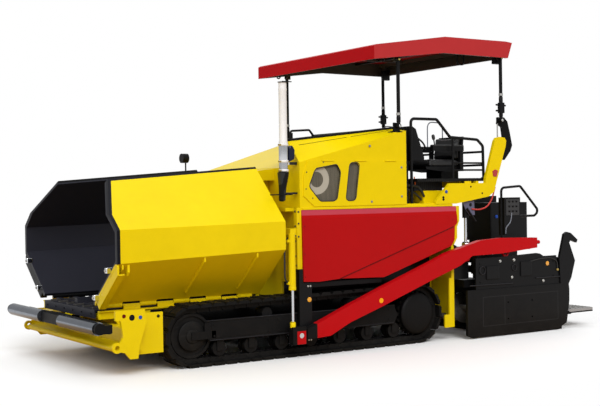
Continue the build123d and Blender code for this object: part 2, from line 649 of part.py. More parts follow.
def make_hood():
    def shell(offset, bottom):
        covers = []
        for low_y, high_y, side in ((COVER_INNER_Y, BODY_Y, 1), (-BODY_Y, COVER_INNER_Y, -1)):
            faces = []
            for index, (x, left_low, left_top, right_low, right_top) in enumerate(hood_sections()):
                if side == 1:
                    loop = [(low_y + offset, bottom), (high_y - offset, bottom), (high_y - offset, left_low - offset),
                            (HOOD_EDGE_Y - offset / 2, left_top - offset), (low_y + offset, left_top - offset)]
                else:
                    loop = [(low_y + offset, bottom), (high_y + offset, bottom), (high_y + offset, right_top - offset),
                            (-HOOD_EDGE_Y + offset / 2, right_top - offset), (low_y + offset, right_low - offset)]
                faces.append(make_face(Polyline(*[(x + (-offset if index == 0 else offset), py, pz) for py, pz in loop], close=True)))
            covers.append(loft(faces, ruled=True))
        return covers[0] + covers[1]

    hood = shell(0, BODY_DECK) - shell(SHEET, BODY_DECK - 50)
    for top, y in ((2090, (BODY_Y - SHEET - 2, BODY_Y + 5)), (1850, (-BODY_Y - 5, -BODY_Y + SHEET + 2))):
        rear, front, low = HOOD_REAR + SHEET + 20, BODY_FRONT - 62, BODY_DECK + 20
        brow = max(top - 150, low + 140)
        hood -= side_plate([(rear, low), (front - 138, low), (front, low + 114), (front - 6, brow), (front - 54, top), (rear, top)], y)

    nose = side_plate(
        [(BODY_FRONT - 1, 2030), (WING_REAR + 190, 1985), (WING_REAR + 190, 1960), (WING_REAR + 30, 1900), (BODY_FRONT - 1, 1900)],
        (-640, 640),
    )
    ear = block((FRONT_POST_X - 46, FRONT_POST_X + 46), POST_EAR_Y, (2412, FRONT_POST_FOOT + 40))
    ear -= rod((FRONT_POST_X, 900, FRONT_POST_FOOT), (FRONT_POST_X, 1300, FRONT_POST_FOOT), 11 + PIN_FIT)
    for shape in both(ear):
        hood += shape
    save("hood_body", hood + nose)

    doors = (("left", 1, 2090, True), ("right", -1, 1850, False))
    for name, side, top, windows in doors:
        y = (BODY_Y + FIT, BODY_Y + SHEET - 2)
        rear, front, low, high = HOOD_REAR + SHEET + 4, BODY_FRONT - 44, BODY_DECK + 8, top + 14
        brow = max(high - 166, low + 150)
        door = side_plate(
            [
                (rear, low),
                (front - 140, low),
                (front, low + 118),
                (front - 4, brow),
                (front - 56, high - 8),
                (front - 66, high),
                (rear, high),
            ],
            y,
        )
        for x in (-300, 120, 560):
            door += rod((x, BODY_Y + SHEET - 2, high), (x + 160, BODY_Y + SHEET - 2, high), 8)
        window = side_plate(
            [(790, 2022), (520, 2066), (470, 1980), (520, 1690), (560, 1664), (745, 1664), (880, 1815), (880, 1850), (820, 1985)],
            (1000, 1300),
        )
        window = fillet(window.edges().filter_by(Axis.Y), 24)
        slot = side_plate([(345, 2086), (210, 2086), (270, 1664), (405, 1664)], (1000, 1300))
        slot = fillet(slot.edges().filter_by(Axis.Y), 50)
        if windows:
            door -= window
            door -= slot
        else:
            for x in (800, 560, 320):
                louvre = block((x - 90, x + 90), (1000, 1300), (1690, 1790))
                door -= louvre
            door = mirror(door, about=Plane.XZ)
        save(f"hood_door_{name}", door)
    meshes = []
    for side, top in ((1, 2100), (-1, 1860)):
        y = sorted((side * (BODY_Y - SHEET - 6), side * (BODY_Y - SHEET - FIT)))
        rear, front, low = HOOD_REAR + SHEET + 6, BODY_FRONT - 48, BODY_DECK + 10
        brow = max(top - 150, low + 146)
        meshes.append(
            side_plate(
                [(rear, low), (front - 140, low), (front, low + 116), (front - 6, brow), (front - 62, top - 4), (rear, top - 4)],
                y,
            )
        )
    ring_y = (BODY_Y - 150, BODY_Y - 110)
    centre = (640, 1840)
    ring = pipe((centre[0], ring_y[0], centre[1]), (centre[0], ring_y[1], centre[1]), 218, 198)
    hub = rod((centre[0], ring_y[0], centre[1]), (centre[0], ring_y[1], centre[1]), 60)
    fan = hub
    for i in range(9):
        blade = Box(136, 6, 40)
        blade = Pos(centre[0], BODY_Y - 130, centre[1]) * Rot(0, 40 * i, 0) * Pos(120, 0, 0) * Rot(35, 0, 0) * blade
        fan += blade
    fan -= rod((centre[0], ring_y[0] - 1, centre[1]), (centre[0], ring_y[1] + 1, centre[1]), 15 + PIN_FIT)
    save("cooling_fan", fan)
    stand_y = (ring_y[0] - 40, ring_y[0] - CLEAR)
    stand = ring + block((centre[0] - 235, centre[0] + 235), (stand_y[0], ring_y[1]), (1540 + FIT, 1640))
    stand += block((centre[0] - 30, centre[0] + 30), stand_y, (1639, centre[1] + 30))
    stand += rod((centre[0], stand_y[0], centre[1]), (centre[0], ring_y[1] - 4, centre[1]), 15)
    save("radiator", group(stand, *meshes))

    walk = side_plate(
        [
            (BODY_FRONT, HOOD_LEFT["front"][1] + FIT),
            (HOOD_REAR, HOOD_LEFT["rear"][1] + FIT),
            (HOOD_REAR, HOOD_LEFT["rear"][1] + 24),
            (BODY_FRONT, HOOD_LEFT["front"][1] + 24),
        ],
        (COVER_INNER_Y, HOOD_EDGE_Y + 6),
    )
    z0 = HOOD_LEFT["front"][1] + 20
    handrail = rail([(940, 880, z0), (940, 880, z0 + 95), (690, 880, z0 + 110), (620, 880, z0 + 28)], 12, 30)
    save("hood_walkway", walk + handrail)

    stack_foot = 1830
    boot = Plane(origin=(STACK_X + 16, STACK_Y, 1672)) * Cone(27, 56, 308, align=(Align.CENTER, Align.CENTER, Align.MIN))
    boot = fillet(boot.edges().sort_by(Axis.Z)[0], 20)
    boot += block((BODY_FRONT + FIT, STACK_X + 10), (STACK_Y - 16, STACK_Y + 16), (1745, 1765))
    collar = rod((STACK_X, STACK_Y, 1980 + FIT), (STACK_X, STACK_Y, 2300), 48)
    collar += rod((STACK_X, STACK_Y, 2299), (STACK_X, STACK_Y, STACK_TOP), STACK_R)
    collar -= rod((STACK_X, STACK_Y, 2400), (STACK_X, STACK_Y, STACK_TOP + 5), STACK_R - 4)
    collar += block((BODY_FRONT + FIT, STACK_X - 40), (STACK_Y - 16, STACK_Y + 16), (2060, 2090))
    save("exhaust_stack", group(boot, collar))
    hinge_x = STACK_X - STACK_R - 14
    cap = rod((STACK_X, STACK_Y, STACK_TOP + FIT), (STACK_X, STACK_Y, STACK_TOP + 7), STACK_R + 12)
    cap += block((hinge_x - 60, STACK_X), (STACK_Y - 7, STACK_Y + 7), (STACK_TOP + 6, STACK_TOP + 16))
    cap += rod((hinge_x, STACK_Y - 24, STACK_TOP + 10), (hinge_x, STACK_Y + 24, STACK_TOP + 10), 8)
    save("rain_cap", cap)
    lamp = rod((1180, -1090, 2200), (1262, -1090, 2200), 58)
    lamp += rod((1202, -1092, 1820), (1202, -1092, 2160), 9)
    lamp += block((BODY_FRONT + FIT, 1215), (-1105, -1080), (1805, 1830))
    save("work_lamp", lamp)


# ---------------------------------------------------------------- platform
def make_platform():
    deck = block((DECK_REAR, DECK_FRONT), (-1090, 1090), (DECK_Z - 34, DECK_Z))
    box_under = block((-1120, DECK_FRONT - 20), (-700, 1000), (1760, DECK_Z - 34))
    foot = block((BODY_REAR, HOOD_REAR - 2), (-BODY_Y, BODY_Y), (BODY_DECK, BODY_DECK + 14))
    deck += box_under
    save("platform_deck", deck)
    step = foot + block((BODY_REAR + 20, -830), (-700, 1000), (BODY_DECK + 13, 1760 - FIT))
    step -= block((BODY_REAR + 20 + SHEET, -830 - SHEET), (-700 + SHEET, 1000 - SHEET), (BODY_DECK + 14, 1740))
    beam = side_plate(
        [
            (-870, BODY_DECK + 30),
            (-1094, 1842),
            (-1655, 1842),
            (-1665, 1905),
            (-1812, 2350),
            (-1840, 2385),
            (-1900, 2400),
            (-1980, 2388),
            (-2005, 2350),
            (-1995, 2290),
            (-1835, 1850),
            (-1795, 1735),
            (-1705, 1680),
            (-1190, 1602),
            (-870, 1602),
        ],
        PLATFORM_Y,
    )
    beam += block((-1580, -1540), (1080, PLATFORM_Y[0] + 1), (1790, DECK_Z - 34 - FIT))
    beams = beam + mirror(beam, about=Plane.XZ)
    beams += block((-1580, -1540), (-1081, 1081), (1790, DECK_Z - 34 - FIT))
    beams += step
    crank = side_plate(
        [
            (-1962, 2120),
            (-2010, 2120),
            (-2110, 2230),
            (-2140, 2300),
            (-2105, 2450),
            (-2065, 2590),
            (-2010, 2640),
            (-1900, 2640),
            (-1885, 2560),
            (-1955, 2520),
            (-1975, 2400),
            (-1960, 2340),
            (-1880, 2320),
            (-1870, 2200),
        ],
        (POST_EAR_Y[0], PLATFORM_Y[0] + 1),
    )
    crank += block((REAR_POST_X - 34, REAR_POST_X + 34), POST_EAR_Y, (2566, 2636))
    crank -= rod((REAR_POST_X, 900, REAR_POST_FOOT), (REAR_POST_X, 1300, REAR_POST_FOOT), 11 + PIN_FIT)
    clevis = block((LIFT_X - 40, LIFT_X + 40), (LIFT_Y - 60, LIFT_Y - 42), (LIFT_TOP - 40, DECK_Z - 34 - FIT))
    clevis += block((LIFT_X - 40, LIFT_X + 40), (LIFT_Y + 38, PLATFORM_Y[0] + 1), (LIFT_TOP - 40, DECK_Z - 34 - FIT))
    clevis += block((LIFT_X - 60, LIFT_X - 44), (LIFT_Y - 60, PLATFORM_Y[0] + 1), (LIFT_TOP - 90, DECK_Z - 34 - FIT))
    clevis += rod((LIFT_X, LIFT_Y - 60, LIFT_TOP), (LIFT_X, LIFT_Y + 42, LIFT_TOP), 18)
    clevis += block((LIFT_X - 60, LIFT_X + 40), (LIFT_Y - 60, LIFT_Y - 42), (LIFT_TOP + 20, DECK_Z - 34 - FIT))
    for shape in both(crank) + both(clevis):
        beams += shape
    save("platform_beams", beams)
    dash = side_plate(
        [(-620, 2110), (-605, 2509), (-640, 2515), (-700, 2480), (-820, 2150), (-820, 2110)],
        (-1000, 1036),
    )
    dash += block((-640, -614), (-900, 960), (BODY_DECK + 14 + FIT, 2111))
    save("dashboard", dash)
    seats, backs, bases = [], [], []
    for y in (-SEAT_Y, SEAT_Y):
        seats.append(block((-1440, -950), (y - 240, y + 240), (2045, 2125)))
        backs.append(side_plate([(-1450, 2127), (-1370, 2127), (-1410, 2408), (-1490, 2408)], (y - 220, y + 220)))
        base = block((-1490, -1220), (y - 140, y + 140), (DECK_Z + FIT, 1992))
        base += side_plate([(-900, 2044.7), (-1470, 2044.7), (-1500, 1990), (-1220, 1980), (-920, 2014)], (y - 230, y + 230))
        base += side_plate([(-1452, 2000), (-1476, 2000), (-1516, 2408), (-1491, 2408), (-1451, 2127)], (y - 215, y + 215))
        for side in (-1, 1):
            base += block((-1440, -960), sorted((y + side * 245, y + side * 300)), (2228, 2288))
            base += block((-1440, -1390), sorted((y + side * 255, y + side * 290)), (2010, 2229))
            base += block((-1440, -1390), sorted((y + side * 200, y + side * 290)), (2000, 2040))
        bases.append(base)
    save("seat_cushions", group(*seats, *backs))
    save("seat_bases", group(*bases))
    front_y = 1070
    rails = None
    for side, top in ((1, 2596), (-1, 2440)):
        y = side * front_y
        loop = rail([(-598, y, BODY_DECK + 14 + FIT), (-598, y, top), (-985, y, top), (-1190, y, 2390),
                     (-1620, y, 2365), (-1708, y, 2290), (-1715, y, DECK_Z + 8)], RAIL_R, 50)
        loop += block((-1770, DECK_REAR - FIT), sorted((y - side * 30, y + side * 18)), (DECK_Z - 30, DECK_Z - 4))
        loop += block((-1770, -1700), sorted((y - side * 30, y + side * 18)), (DECK_Z + FIT, DECK_Z + 12))
        loop += block((-1770, -1748), sorted((y - side * 30, y + side * 18)), (DECK_Z - 30, DECK_Z + 12))
        for z in (2000, 2084):
            loop += rod((-1714, y, z), (-1230, y, z), 11)
        loop += rod((-1230, y, DECK_Z + FIT), (-1230, y, 2388), 13)
        rails = loop if rails is None else rails + loop
    for z in (2060, 2220):
        rails += rod((-1714, -front_y, z), (-1714, front_y, z), 14)
    save("platform_rails", rails)


# ---------------------------------------------------------------- canopy
def make_canopy():
    outer = [
        (CANOPY_FRONT, CANOPY_FRONT_TOP - CANOPY_RIM),
        (CANOPY_FRONT, CANOPY_FRONT_TOP - 12),
        (CANOPY_FRONT - 30, CANOPY_FRONT_TOP + 4),
        (CANOPY_RIDGE, CANOPY_TOP),
        (CANOPY_REAR + 110, CANOPY_TOP + 2),
        (CANOPY_REAR, CANOPY_TOP - 8),
        (CANOPY_REAR + 70, CANOPY_TOP - 196),
        (CANOPY_RIDGE + 30, CANOPY_TOP - 190),
    ]
    roof = side_plate(outer, (-CANOPY_Y, CANOPY_Y))
    lining = side_plate(
        [
            (CANOPY_FRONT - 28, CANOPY_FRONT_TOP - CANOPY_RIM - 60),
            (CANOPY_FRONT - 28, CANOPY_FRONT_TOP - 34),
            (CANOPY_RIDGE, CANOPY_TOP - 24),
            (CANOPY_REAR + 110, CANOPY_TOP - 22),
            (CANOPY_REAR + 36, CANOPY_TOP - 30),
            (CANOPY_REAR + 124, CANOPY_TOP - 260),
            (CANOPY_RIDGE, CANOPY_TOP - 260),
        ],
        (-CANOPY_Y + 28, CANOPY_Y - 28),
    )
    roof -= lining
    # notches that let the folding rear posts pass the rear rim
    notch = block((CANOPY_REAR - 10, CANOPY_REAR + 112), (POST_EAR_Y[1] - 2, POST_Y + POST_R + 12), (3200, 3386))
    for shape in both(notch):
        roof -= shape
    frame = None
    ear_mid = (POST_EAR_Y[0] + POST_EAR_Y[1]) / 2
    for x, top in ((FRONT_POST_X, FRONT_POST_FOOT + POST_LENGTH), (REAR_POST_X, REAR_POST_FOOT + POST_LENGTH)):
        ceiling = CANOPY_TOP - 23
        if x > CANOPY_RIDGE:
            share = (x - CANOPY_RIDGE) / (CANOPY_FRONT - 28 - CANOPY_RIDGE)
            ceiling = CANOPY_TOP - 20 - share * (CANOPY_TOP - CANOPY_FRONT_TOP + 10)
        bar = block((x - 25, x + 25), (-CANOPY_Y + 27, CANOPY_Y - 27), (ceiling - 50, ceiling + 1))
        for side in (-1, 1):
            y = side * ear_mid
            bar += block((x - 24, x + 24), (y - 11, y + 11), (top - 26, ceiling - 30))
        frame = bar if frame is None else frame + bar
    for side in (-1, 1):
        frame += side_plate(
            [
                (FRONT_POST_X, 3392),
                (FRONT_POST_X, 3425),
                (CANOPY_RIDGE, CANOPY_TOP - 23),
                (REAR_POST_X, CANOPY_TOP - 23),
                (REAR_POST_X, CANOPY_TOP - 62),
                (CANOPY_RIDGE, CANOPY_TOP - 62),
            ],
            sorted((side * 700, side * 726)),
        )
    for x, top in ((FRONT_POST_X, FRONT_POST_FOOT + POST_LENGTH), (REAR_POST_X, REAR_POST_FOOT + POST_LENGTH)):
        frame -= rod((x, -1300, top), (x, 1300, top), 11 + PIN_FIT)
    save("canopy_roof", roof + frame)
    for name, x, foot in (("front", FRONT_POST_X, FRONT_POST_FOOT), ("rear", REAR_POST_X, REAR_POST_FOOT)):
        post = rod((x, POST_Y, foot), (x, POST_Y, foot + POST_LENGTH), POST_R)
        for z in (foot, foot + POST_LENGTH):
            post += rod((x, POST_Y - POST_R - 1, z), (x, POST_Y + POST_R - 1, z), POST_R + 5)
            post += rod((x, POST_Y, z), (x, POST_EAR_Y[0] - 4, z), 11)
        save(f"canopy_{name}_posts", group(*both(post)))


# ---------------------------------------------------------------- tow arms, levelling, lift
ARM_TOP = [(1012, 310), (950, 330), (438, 530), (24, 681), (-703, 936), (-961, 1034), (-1161, 1084), (-1476, 1160), (-1799, 1178), (-2400, 1163)]
ARM_BOTTOM = [(-2400, 1040), (-1799, 992), (-1340, 985), (-1150, 880), (-957, 813), (-774, 753), (27, 474), (442, 339), (711, 214), (930, 200), (1012, 197)]


def make_tow():
    arm = side_plate(ARM_TOP + ARM_BOTTOM, ARM_Y)
    arm += rod((TOW_X, ARM_Y[0] + 20, TOW_Z), (TOW_X, ARM_Y[1] - 20, TOW_Z), 62)
    arm += block((1005, TOW_X), (ARM_Y[0] + 20, ARM_Y[1] - 20), (TOW_Z - 50, TOW_Z + 50))
    arm -= rod((TOW_X, 1000, TOW_Z), (TOW_X, 1400, TOW_Z), TOW_PIN_R + PIN_FIT)
    arm += rod((-2400, (ARM_Y[0] + ARM_Y[1]) / 2, 1105), (-2470, (ARM_Y[0] + ARM_Y[1]) / 2, 1105), 22)
    save("tow_arms", group(*both(arm)))

    slider = block((TOW_X + 64, TOW_X + 110), (ARM_Y[0], ARM_Y[1]), (TOW_Z - 95, TOW_Z + 95))
    for y in ((ARM_Y[0], ARM_Y[0] + 12), (ARM_Y[1] - 12, ARM_Y[1])):
        slider += block((TOW_X - 60, TOW_X + 70), y, (TOW_Z - 95, TOW_Z + 95))
    slider += rod((TOW_X, ARM_Y[0], TOW_Z), (TOW_X, ARM_Y[1], TOW_Z), TOW_PIN_R)
    mid = (ARM_Y[0] + ARM_Y[1]) / 2
    slider += rod((LEVEL_X, mid, TOW_Z + 90), (LEVEL_X, mid, 1120), LEVEL_ROD_R)
    slider += rod((LEVEL_X, mid, TOW_Z + 80), (LEVEL_X, mid, TOW_Z + 150), 26)
    save("tow_points", group(*both(slider)))

    barrel = rod((LEVEL_X, mid, 742), (LEVEL_X, mid, 1330), LEVEL_BARREL_R)
    barrel -= rod((LEVEL_X, mid, 700), (LEVEL_X, mid, 1325), LEVEL_ROD_R + PIN_FIT)
    barrel += block((BODY_FRONT + 42 + FIT, LEVEL_X), (BODY_Y - 50, BODY_Y - 10), (1280, 1380))
    barrel += block((LEVEL_X - 30, LEVEL_X + 30), (BODY_Y - 50, mid + 20), (1320, 1380))
    save("levelling_cylinders", group(*both(barrel)))

    guide = block((TOW_X - 85, TOW_X - 37), (ARM_Y[0] - 40, ARM_Y[0] - CLEAR), (150, 940))
    guide += block((BODY_FRONT + FIT, TOW_X - 37), (BODY_Y - 150, ARM_Y[0] - 39), (700, 940))
    save("tow_guides", group(*both(guide)))

    lift_rod = rod((LIFT_X, LIFT_Y, LIFT_EYE), (LIFT_X, LIFT_Y, 1480), LIFT_ROD_R)
    lift_rod += rod((LIFT_X, LIFT_Y - 30, LIFT_EYE), (LIFT_X, LIFT_Y + 30, LIFT_EYE), 36)
    lift_rod += rod((LIFT_X, LIFT_Y, LIFT_EYE), (LIFT_X, ARM_Y[0] - FIT, LIFT_EYE), 20)
    save("lift_rods", group(*both(lift_rod)))
    lift = rod((LIFT_X, LIFT_Y, 1428), (LIFT_X, LIFT_Y, LIFT_TOP), LIFT_BARREL_R)
    lift -= rod((LIFT_X, LIFT_Y, 1400), (LIFT_X, LIFT_Y, LIFT_TOP - 60), LIFT_ROD_R + PIN_FIT)
    lift += rod((LIFT_X, LIFT_Y - 26, LIFT_TOP), (LIFT_X, LIFT_Y + 26, LIFT_TOP), 34)
    lift -= rod((LIFT_X, LIFT_Y - 40, LIFT_TOP), (LIFT_X, LIFT_Y + 40, LIFT_TOP), 18 + PIN_FIT)
    save("lift_barrels", group(*both(lift)))


# ---------------------------------------------------------------- augers
def make_augers():
    carriage = block((AUGER_X + 150, FRAME_REAR - 90 - FIT), (-420, 420), (560, 700))
    carriage += block((AUGER_X - 60, AUGER_X + 160), (-1120, 1120), (600, 690))
    carriage += block((AUGER_X - 90, AUGER_X + 90), (-90, 90), (AUGER_Z - 110, 601))
    for side in (-1, 1):
        carriage += block((AUGER_X - 30, AUGER_X + 30), sorted((side * (AUGER_OUTER + 12), side * (AUGER_OUTER + 32))), (AUGER_Z - 60, 640))
        carriage += block((AUGER_X - 40, AUGER_X + 60), sorted((side * 1100, side * (AUGER_OUTER + 32))), (600, 640))
        carriage += rod((AUGER_X, side * 60, AUGER_Z), (AUGER_X, side * (AUGER_OUTER + 30), AUGER_Z), 15)
    save("auger_carriage", carriage)
    turns = (AUGER_OUTER - AUGER_INNER - 40) / AUGER_PITCH
    length = AUGER_OUTER - AUGER_INNER
    shaft = rod((AUGER_X, AUGER_INNER, AUGER_Z), (AUGER_X, AUGER_OUTER, AUGER_Z), AUGER_SHAFT_R)
    flights = []
    per_turn = 10
    count = int(turns * per_turn)
    for i in range(count):
        y = AUGER_INNER + 25 + (length - 50) * i / count
        angle = 360 * i / per_turn
        wedge = Pos((AUGER_R + AUGER_SHAFT_R) / 2 - 4, 0, 0) * Box(AUGER_R - AUGER_SHAFT_R + 8, 14, 108)
        wedge = Rot(math.degrees(math.atan2(AUGER_PITCH, 2 * math.pi * 130)), 0, 0) * wedge
        flights.append(Pos(AUGER_X, y, AUGER_Z) * Rot(0, angle, 0) * wedge)
    auger = shaft
    for flight in flights:
        auger += flight
    auger -= rod((AUGER_X, AUGER_INNER - 5, AUGER_Z), (AUGER_X, AUGER_OUTER + 5, AUGER_Z), 15 + PIN_FIT)
    save_pair("auger", auger)


# ---------------------------------------------------------------- screed
def make_screed():
    main = block((SCREED_SPLIT + CLEAR, SCREED_FRONT), (-HALF_WIDTH + 45, HALF_WIDTH - 45), (SOLE_T, SCREED_HEIGHT))
    main -= block((SCREED_SPLIT + 60, SCREED_FRONT - 60), (-HALF_WIDTH - 5, HALF_WIDTH + 5), (90, SCREED_HEIGHT - 30))
    for y in (-1180, -600, 0, 600, 1180):
        main += block((SCREED_SPLIT + 40, SCREED_FRONT - 40), (y - 10, y + 10), (60, SCREED_HEIGHT - 20))
    main += side_plate(
        [(SCREED_FRONT + 60, 130), (SCREED_FRONT - 1, 40), (SCREED_FRONT - 1, 420), (SCREED_FRONT + 60, 420)],
        (-HALF_WIDTH + 45, HALF_WIDTH - 45),
    )
    main += block((SCREED_SPLIT - 40, SCREED_FRONT), (-HALF_WIDTH + 45, HALF_WIDTH - 45), (SCREED_HEIGHT - 1, SCREED_HEIGHT + 24))
    main += block((SCREED_SPLIT + CLEAR, SCREED_FRONT + 30), (-HALF_WIDTH + 45, HALF_WIDTH - 45), (0, SOLE_T + 1))
    tower = None
    for side in (-1, 1):
        y = sorted((side * 560, side * 640))
        part = block((SCREED_SPLIT - 300, SCREED_FRONT - 60), y, (SCREED_HEIGHT + 23, 1000))
        tower = part if tower is None else tower + part
        tower += block((-2360, -2300), sorted((side * 560, side * 1190)), (1020, 1100))
        tower += block((-2360, -2300), sorted((side * 560, side * 640)), (999, 1100))
    tower += block((SCREED_SPLIT - 60, SCREED_SPLIT + 100), (-640, 640), (880, 1000))
    for z in (700, 830):
        sleeve = pipe((SCREED_SPLIT - 180, 40, z), (SCREED_SPLIT - 180, 1150, z), 48, GUIDE_TUBE_R + PIN_FIT)
        bore = rod((SCREED_SPLIT - 180, 61, z), (SCREED_SPLIT - 180, 1160, z), GUIDE_TUBE_R + PIN_FIT)
        for shape, hole in zip(both(sleeve), both(bore)):
            tower += shape
            tower -= hole
    tower += block((SCREED_SPLIT - 230, SCREED_SPLIT - 130), (-60, 60), (640, 1000))
    tower += block((SCREED_SPLIT - 180, SCREED_SPLIT - 60), (-60, 60), (900, 1000))
    save("screed_body", main + tower)
    cabinet = block((-2990, -2330), (30, 520), (1101, 1590))
    cabinet = fillet(cabinet.edges().filter_by(Axis.Z), 20)
    cabinet += block((-2900, -2500), (-40, 31), (1150, 1674))
    cabinet += block((-2520, -2340), (100, 450), (1000 + FIT, 1102))
    save("screed_cabinet", cabinet)

    extensions = {}
    for side in (1, -1):
        y = sorted((side * EXT_INNER, side * EXT_OUTER))
        body = block((SCREED_BACK, SCREED_SPLIT - CLEAR - 40), y, (SOLE_T, SCREED_HEIGHT - 10))
        body -= block((SCREED_BACK + 60, SCREED_SPLIT - 100), (-1300, 1300), (90, SCREED_HEIGHT - 50))
        for share in (0.02, 0.5, 0.98):
            middle = y[0] + (y[1] - y[0]) * share
            body += block((SCREED_BACK + 40, SCREED_SPLIT - 90), (middle - 12, middle + 12), (60, SCREED_HEIGHT - 40))
        body += block((SCREED_BACK + 20, SCREED_SPLIT - 90), sorted((side * (EXT_OUTER - 60), side * EXT_OUTER)), (SCREED_HEIGHT - 60, 900))
        for z in (700, 830):
            body += rod((SCREED_SPLIT - 180, side * 60, z), (SCREED_SPLIT - 180, side * (EXT_OUTER - 50), z), GUIDE_TUBE_R)
        body += block((SCREED_BACK, SCREED_SPLIT - CLEAR - 40), y, (0, SOLE_T + 1))
        extensions[side] = body
    end = side_plate(
        [
            (-1250, 40),
            (-1330, 12),
            (-2750, 12),
            (-2900, 84),
            (-2950, 350),
            (-2952, 500),
            (-2940, 575),
            (-1254, 575),
        ],
        (END_PLATE_Y[0], END_PLATE_Y[1]),
    )
    end += side_plate(
        [(-1400, 574), (-1400, 945), (-1800, 950), (-2400, 972), (-2460, 962), (-2520, 930), (-2740, 930), (-2800, 560)],
        (END_PLATE_Y[0], END_PLATE_Y[0] + 20),
    )
    lever = side_plate(
        [(-2780, 880), (-2870, 1190), (-2920, 1216), (-2990, 1200), (-3110, 1110), (-3090, 1075), (-2985, 1110), (-2960, 1080),
         (-3060, 850), (-2990, 640), (-2940, 560), (-2800, 560)],
        (END_PLATE_Y[0], END_PLATE_Y[1]),
    )
    end += lever
    for x in (-2100 - 200, -2100 + 200):
        for z in (200, 400):
            end -= rod((x, 1200, z), (x, 1300, z), 11)
    end += block((SCREED_BACK + 20, SCREED_SPLIT - 90), (EXT_OUTER + FIT, END_PLATE_Y[0] + 1), (380, 560))
    save_pair("end_gate", end)

    for name, side in (("left", 1), ("right", -1)):
        y = sorted((side * 120, side * 1225))
        step = block((-HALF_LENGTH, WALK_FRONT - 44), y, (WALK_Z - 12, WALK_Z))
        step += block((-HALF_LENGTH, -HALF_LENGTH + 14), y, (WALK_Z - 50, WALK_Z))
        step += block((WALK_FRONT - 58, WALK_FRONT - 44), y, (WALK_Z - 50, WALK_Z))
        for py in (y[0], y[1] - 14):
            step += block((-HALF_LENGTH, WALK_FRONT - 44), (py, py + 14), (WALK_Z - 50, WALK_Z))
            step += block((WALK_FRONT - 46, WALK_FRONT + 20), (py, py + 14), (WALK_Z - 60, WALK_Z))
        hinge = (WALK_FRONT, WALK_Z - 30)
        step -= rod((hinge[0], -1300, hinge[1]), (hinge[0], 1300, hinge[1]), 12 + PIN_FIT)
        save(f"rear_walkway_{name}", step)
        bracket = None
        for py in (y[0] + 22, y[1] - 36):
            ear = block((WALK_FRONT - 26, SCREED_BACK + 1), (py, py + 14), (WALK_Z - 58, WALK_Z - 5))
            bracket = ear if bracket is None else bracket + ear
        bracket += rod((hinge[0], y[0] - 8, hinge[1]), (hinge[0], y[1] + 8, hinge[1]), 12)
        save(f"extension_{name}", extensions[side] + bracket)

    console = rail([(-2060, 1010, 1010), (-2060, 1010, 1780), (-2380, 1010, 1800), (-2700, 1010, 1480), (-2620, 1010, 1425), (-2320, 1010, 1425)], 15, 50)
    console += block((-2330, -2060), (960, 1060), (1200, 1660))
    console += block((-2120, -2040), (560, 1030), (1000 + FIT, 1030))
    save("screed_consoles", group(*both(console)))


make_hopper()
make_chassis()
make_push_rollers()
make_tracks()
make_body()
make_hood()
make_platform()
make_canopy()
make_tow()
make_augers()
make_screed()
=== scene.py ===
import math

import bmesh
import bpy
from mathutils import Matrix, Vector


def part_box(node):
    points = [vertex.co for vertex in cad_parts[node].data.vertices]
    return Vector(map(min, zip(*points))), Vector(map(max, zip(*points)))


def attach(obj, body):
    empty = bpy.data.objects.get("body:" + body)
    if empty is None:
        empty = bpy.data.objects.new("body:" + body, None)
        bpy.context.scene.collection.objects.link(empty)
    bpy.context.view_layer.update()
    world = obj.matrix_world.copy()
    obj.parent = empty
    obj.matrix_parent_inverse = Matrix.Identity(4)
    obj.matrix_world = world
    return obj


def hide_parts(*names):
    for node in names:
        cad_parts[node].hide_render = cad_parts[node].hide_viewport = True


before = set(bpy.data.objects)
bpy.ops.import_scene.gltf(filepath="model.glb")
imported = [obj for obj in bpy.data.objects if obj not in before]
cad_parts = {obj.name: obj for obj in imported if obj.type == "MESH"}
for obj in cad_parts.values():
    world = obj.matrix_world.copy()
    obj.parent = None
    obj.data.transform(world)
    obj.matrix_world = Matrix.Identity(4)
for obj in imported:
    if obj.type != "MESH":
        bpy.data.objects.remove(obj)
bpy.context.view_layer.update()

# ------------------------------------------------------------------ places on the machine, in metres
SIDES = (("left", 1), ("right", -1))
SIDE_FACE = 1.275       # outermost faces: tow arms and end gates
ROOF_SIDE = 1.2385      # inner face of the canopy's side rims
ROOF_FRONT = 0.0455     # inner face of its front rim
PANEL_FACE = 1.175      # red side panels
BEAM_FACE = 1.168       # platform beams
POST_Y = 1.165          # canopy posts
DOOR_FACE = 1.160       # hood doors
GATE_FACE = 1.260       # upper plate of the end gates
GATE_TRIM = 1.266       # middle of the bars and hoses on that plate
LEVELLING_X, LEVELLING_Y = 1.170, 1.2325
SEAT_Y = 0.730
AUGER_X, AUGER_Z = -1.500, 0.330
WING_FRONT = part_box("hopper_wing_left")[1][0]
UPRIGHT = (0, 0, 1)
ALONG_X, ALONG_Z = Vector((1, 0, 0)), Vector(UPRIGHT)
ONE_TURN = 2 * math.pi

# ------------------------------------------------------------------ colours, linear
YELLOW = (0.79, 0.60, 0.0015)
RED = (0.42, 0.0025, 0.004)
ARM_RED = (0.47, 0.002, 0.005)
CANOPY_RED = (0.44, 0.003, 0.007)
BLACK = (0.0050, 0.0050, 0.0056)
# Hopper liner: dark grey, partly its own colour and partly a blue cast painted in as the sky's reflection
LINER_SKY_TINTED = (0.0190, 0.0195, 0.0270)
IRON = (0.0065, 0.0063, 0.0064)
STEEL = (0.56, 0.57, 0.59)
ZINC = (0.62, 0.61, 0.58)
BRASS = (0.55, 0.40, 0.12)
VINYL = (0.012, 0.012, 0.013)
PLASTIC = (0.018, 0.018, 0.019)
AMBER = (0.95, 0.42, 0.01)
DUST = (0.16, 0.145, 0.12)


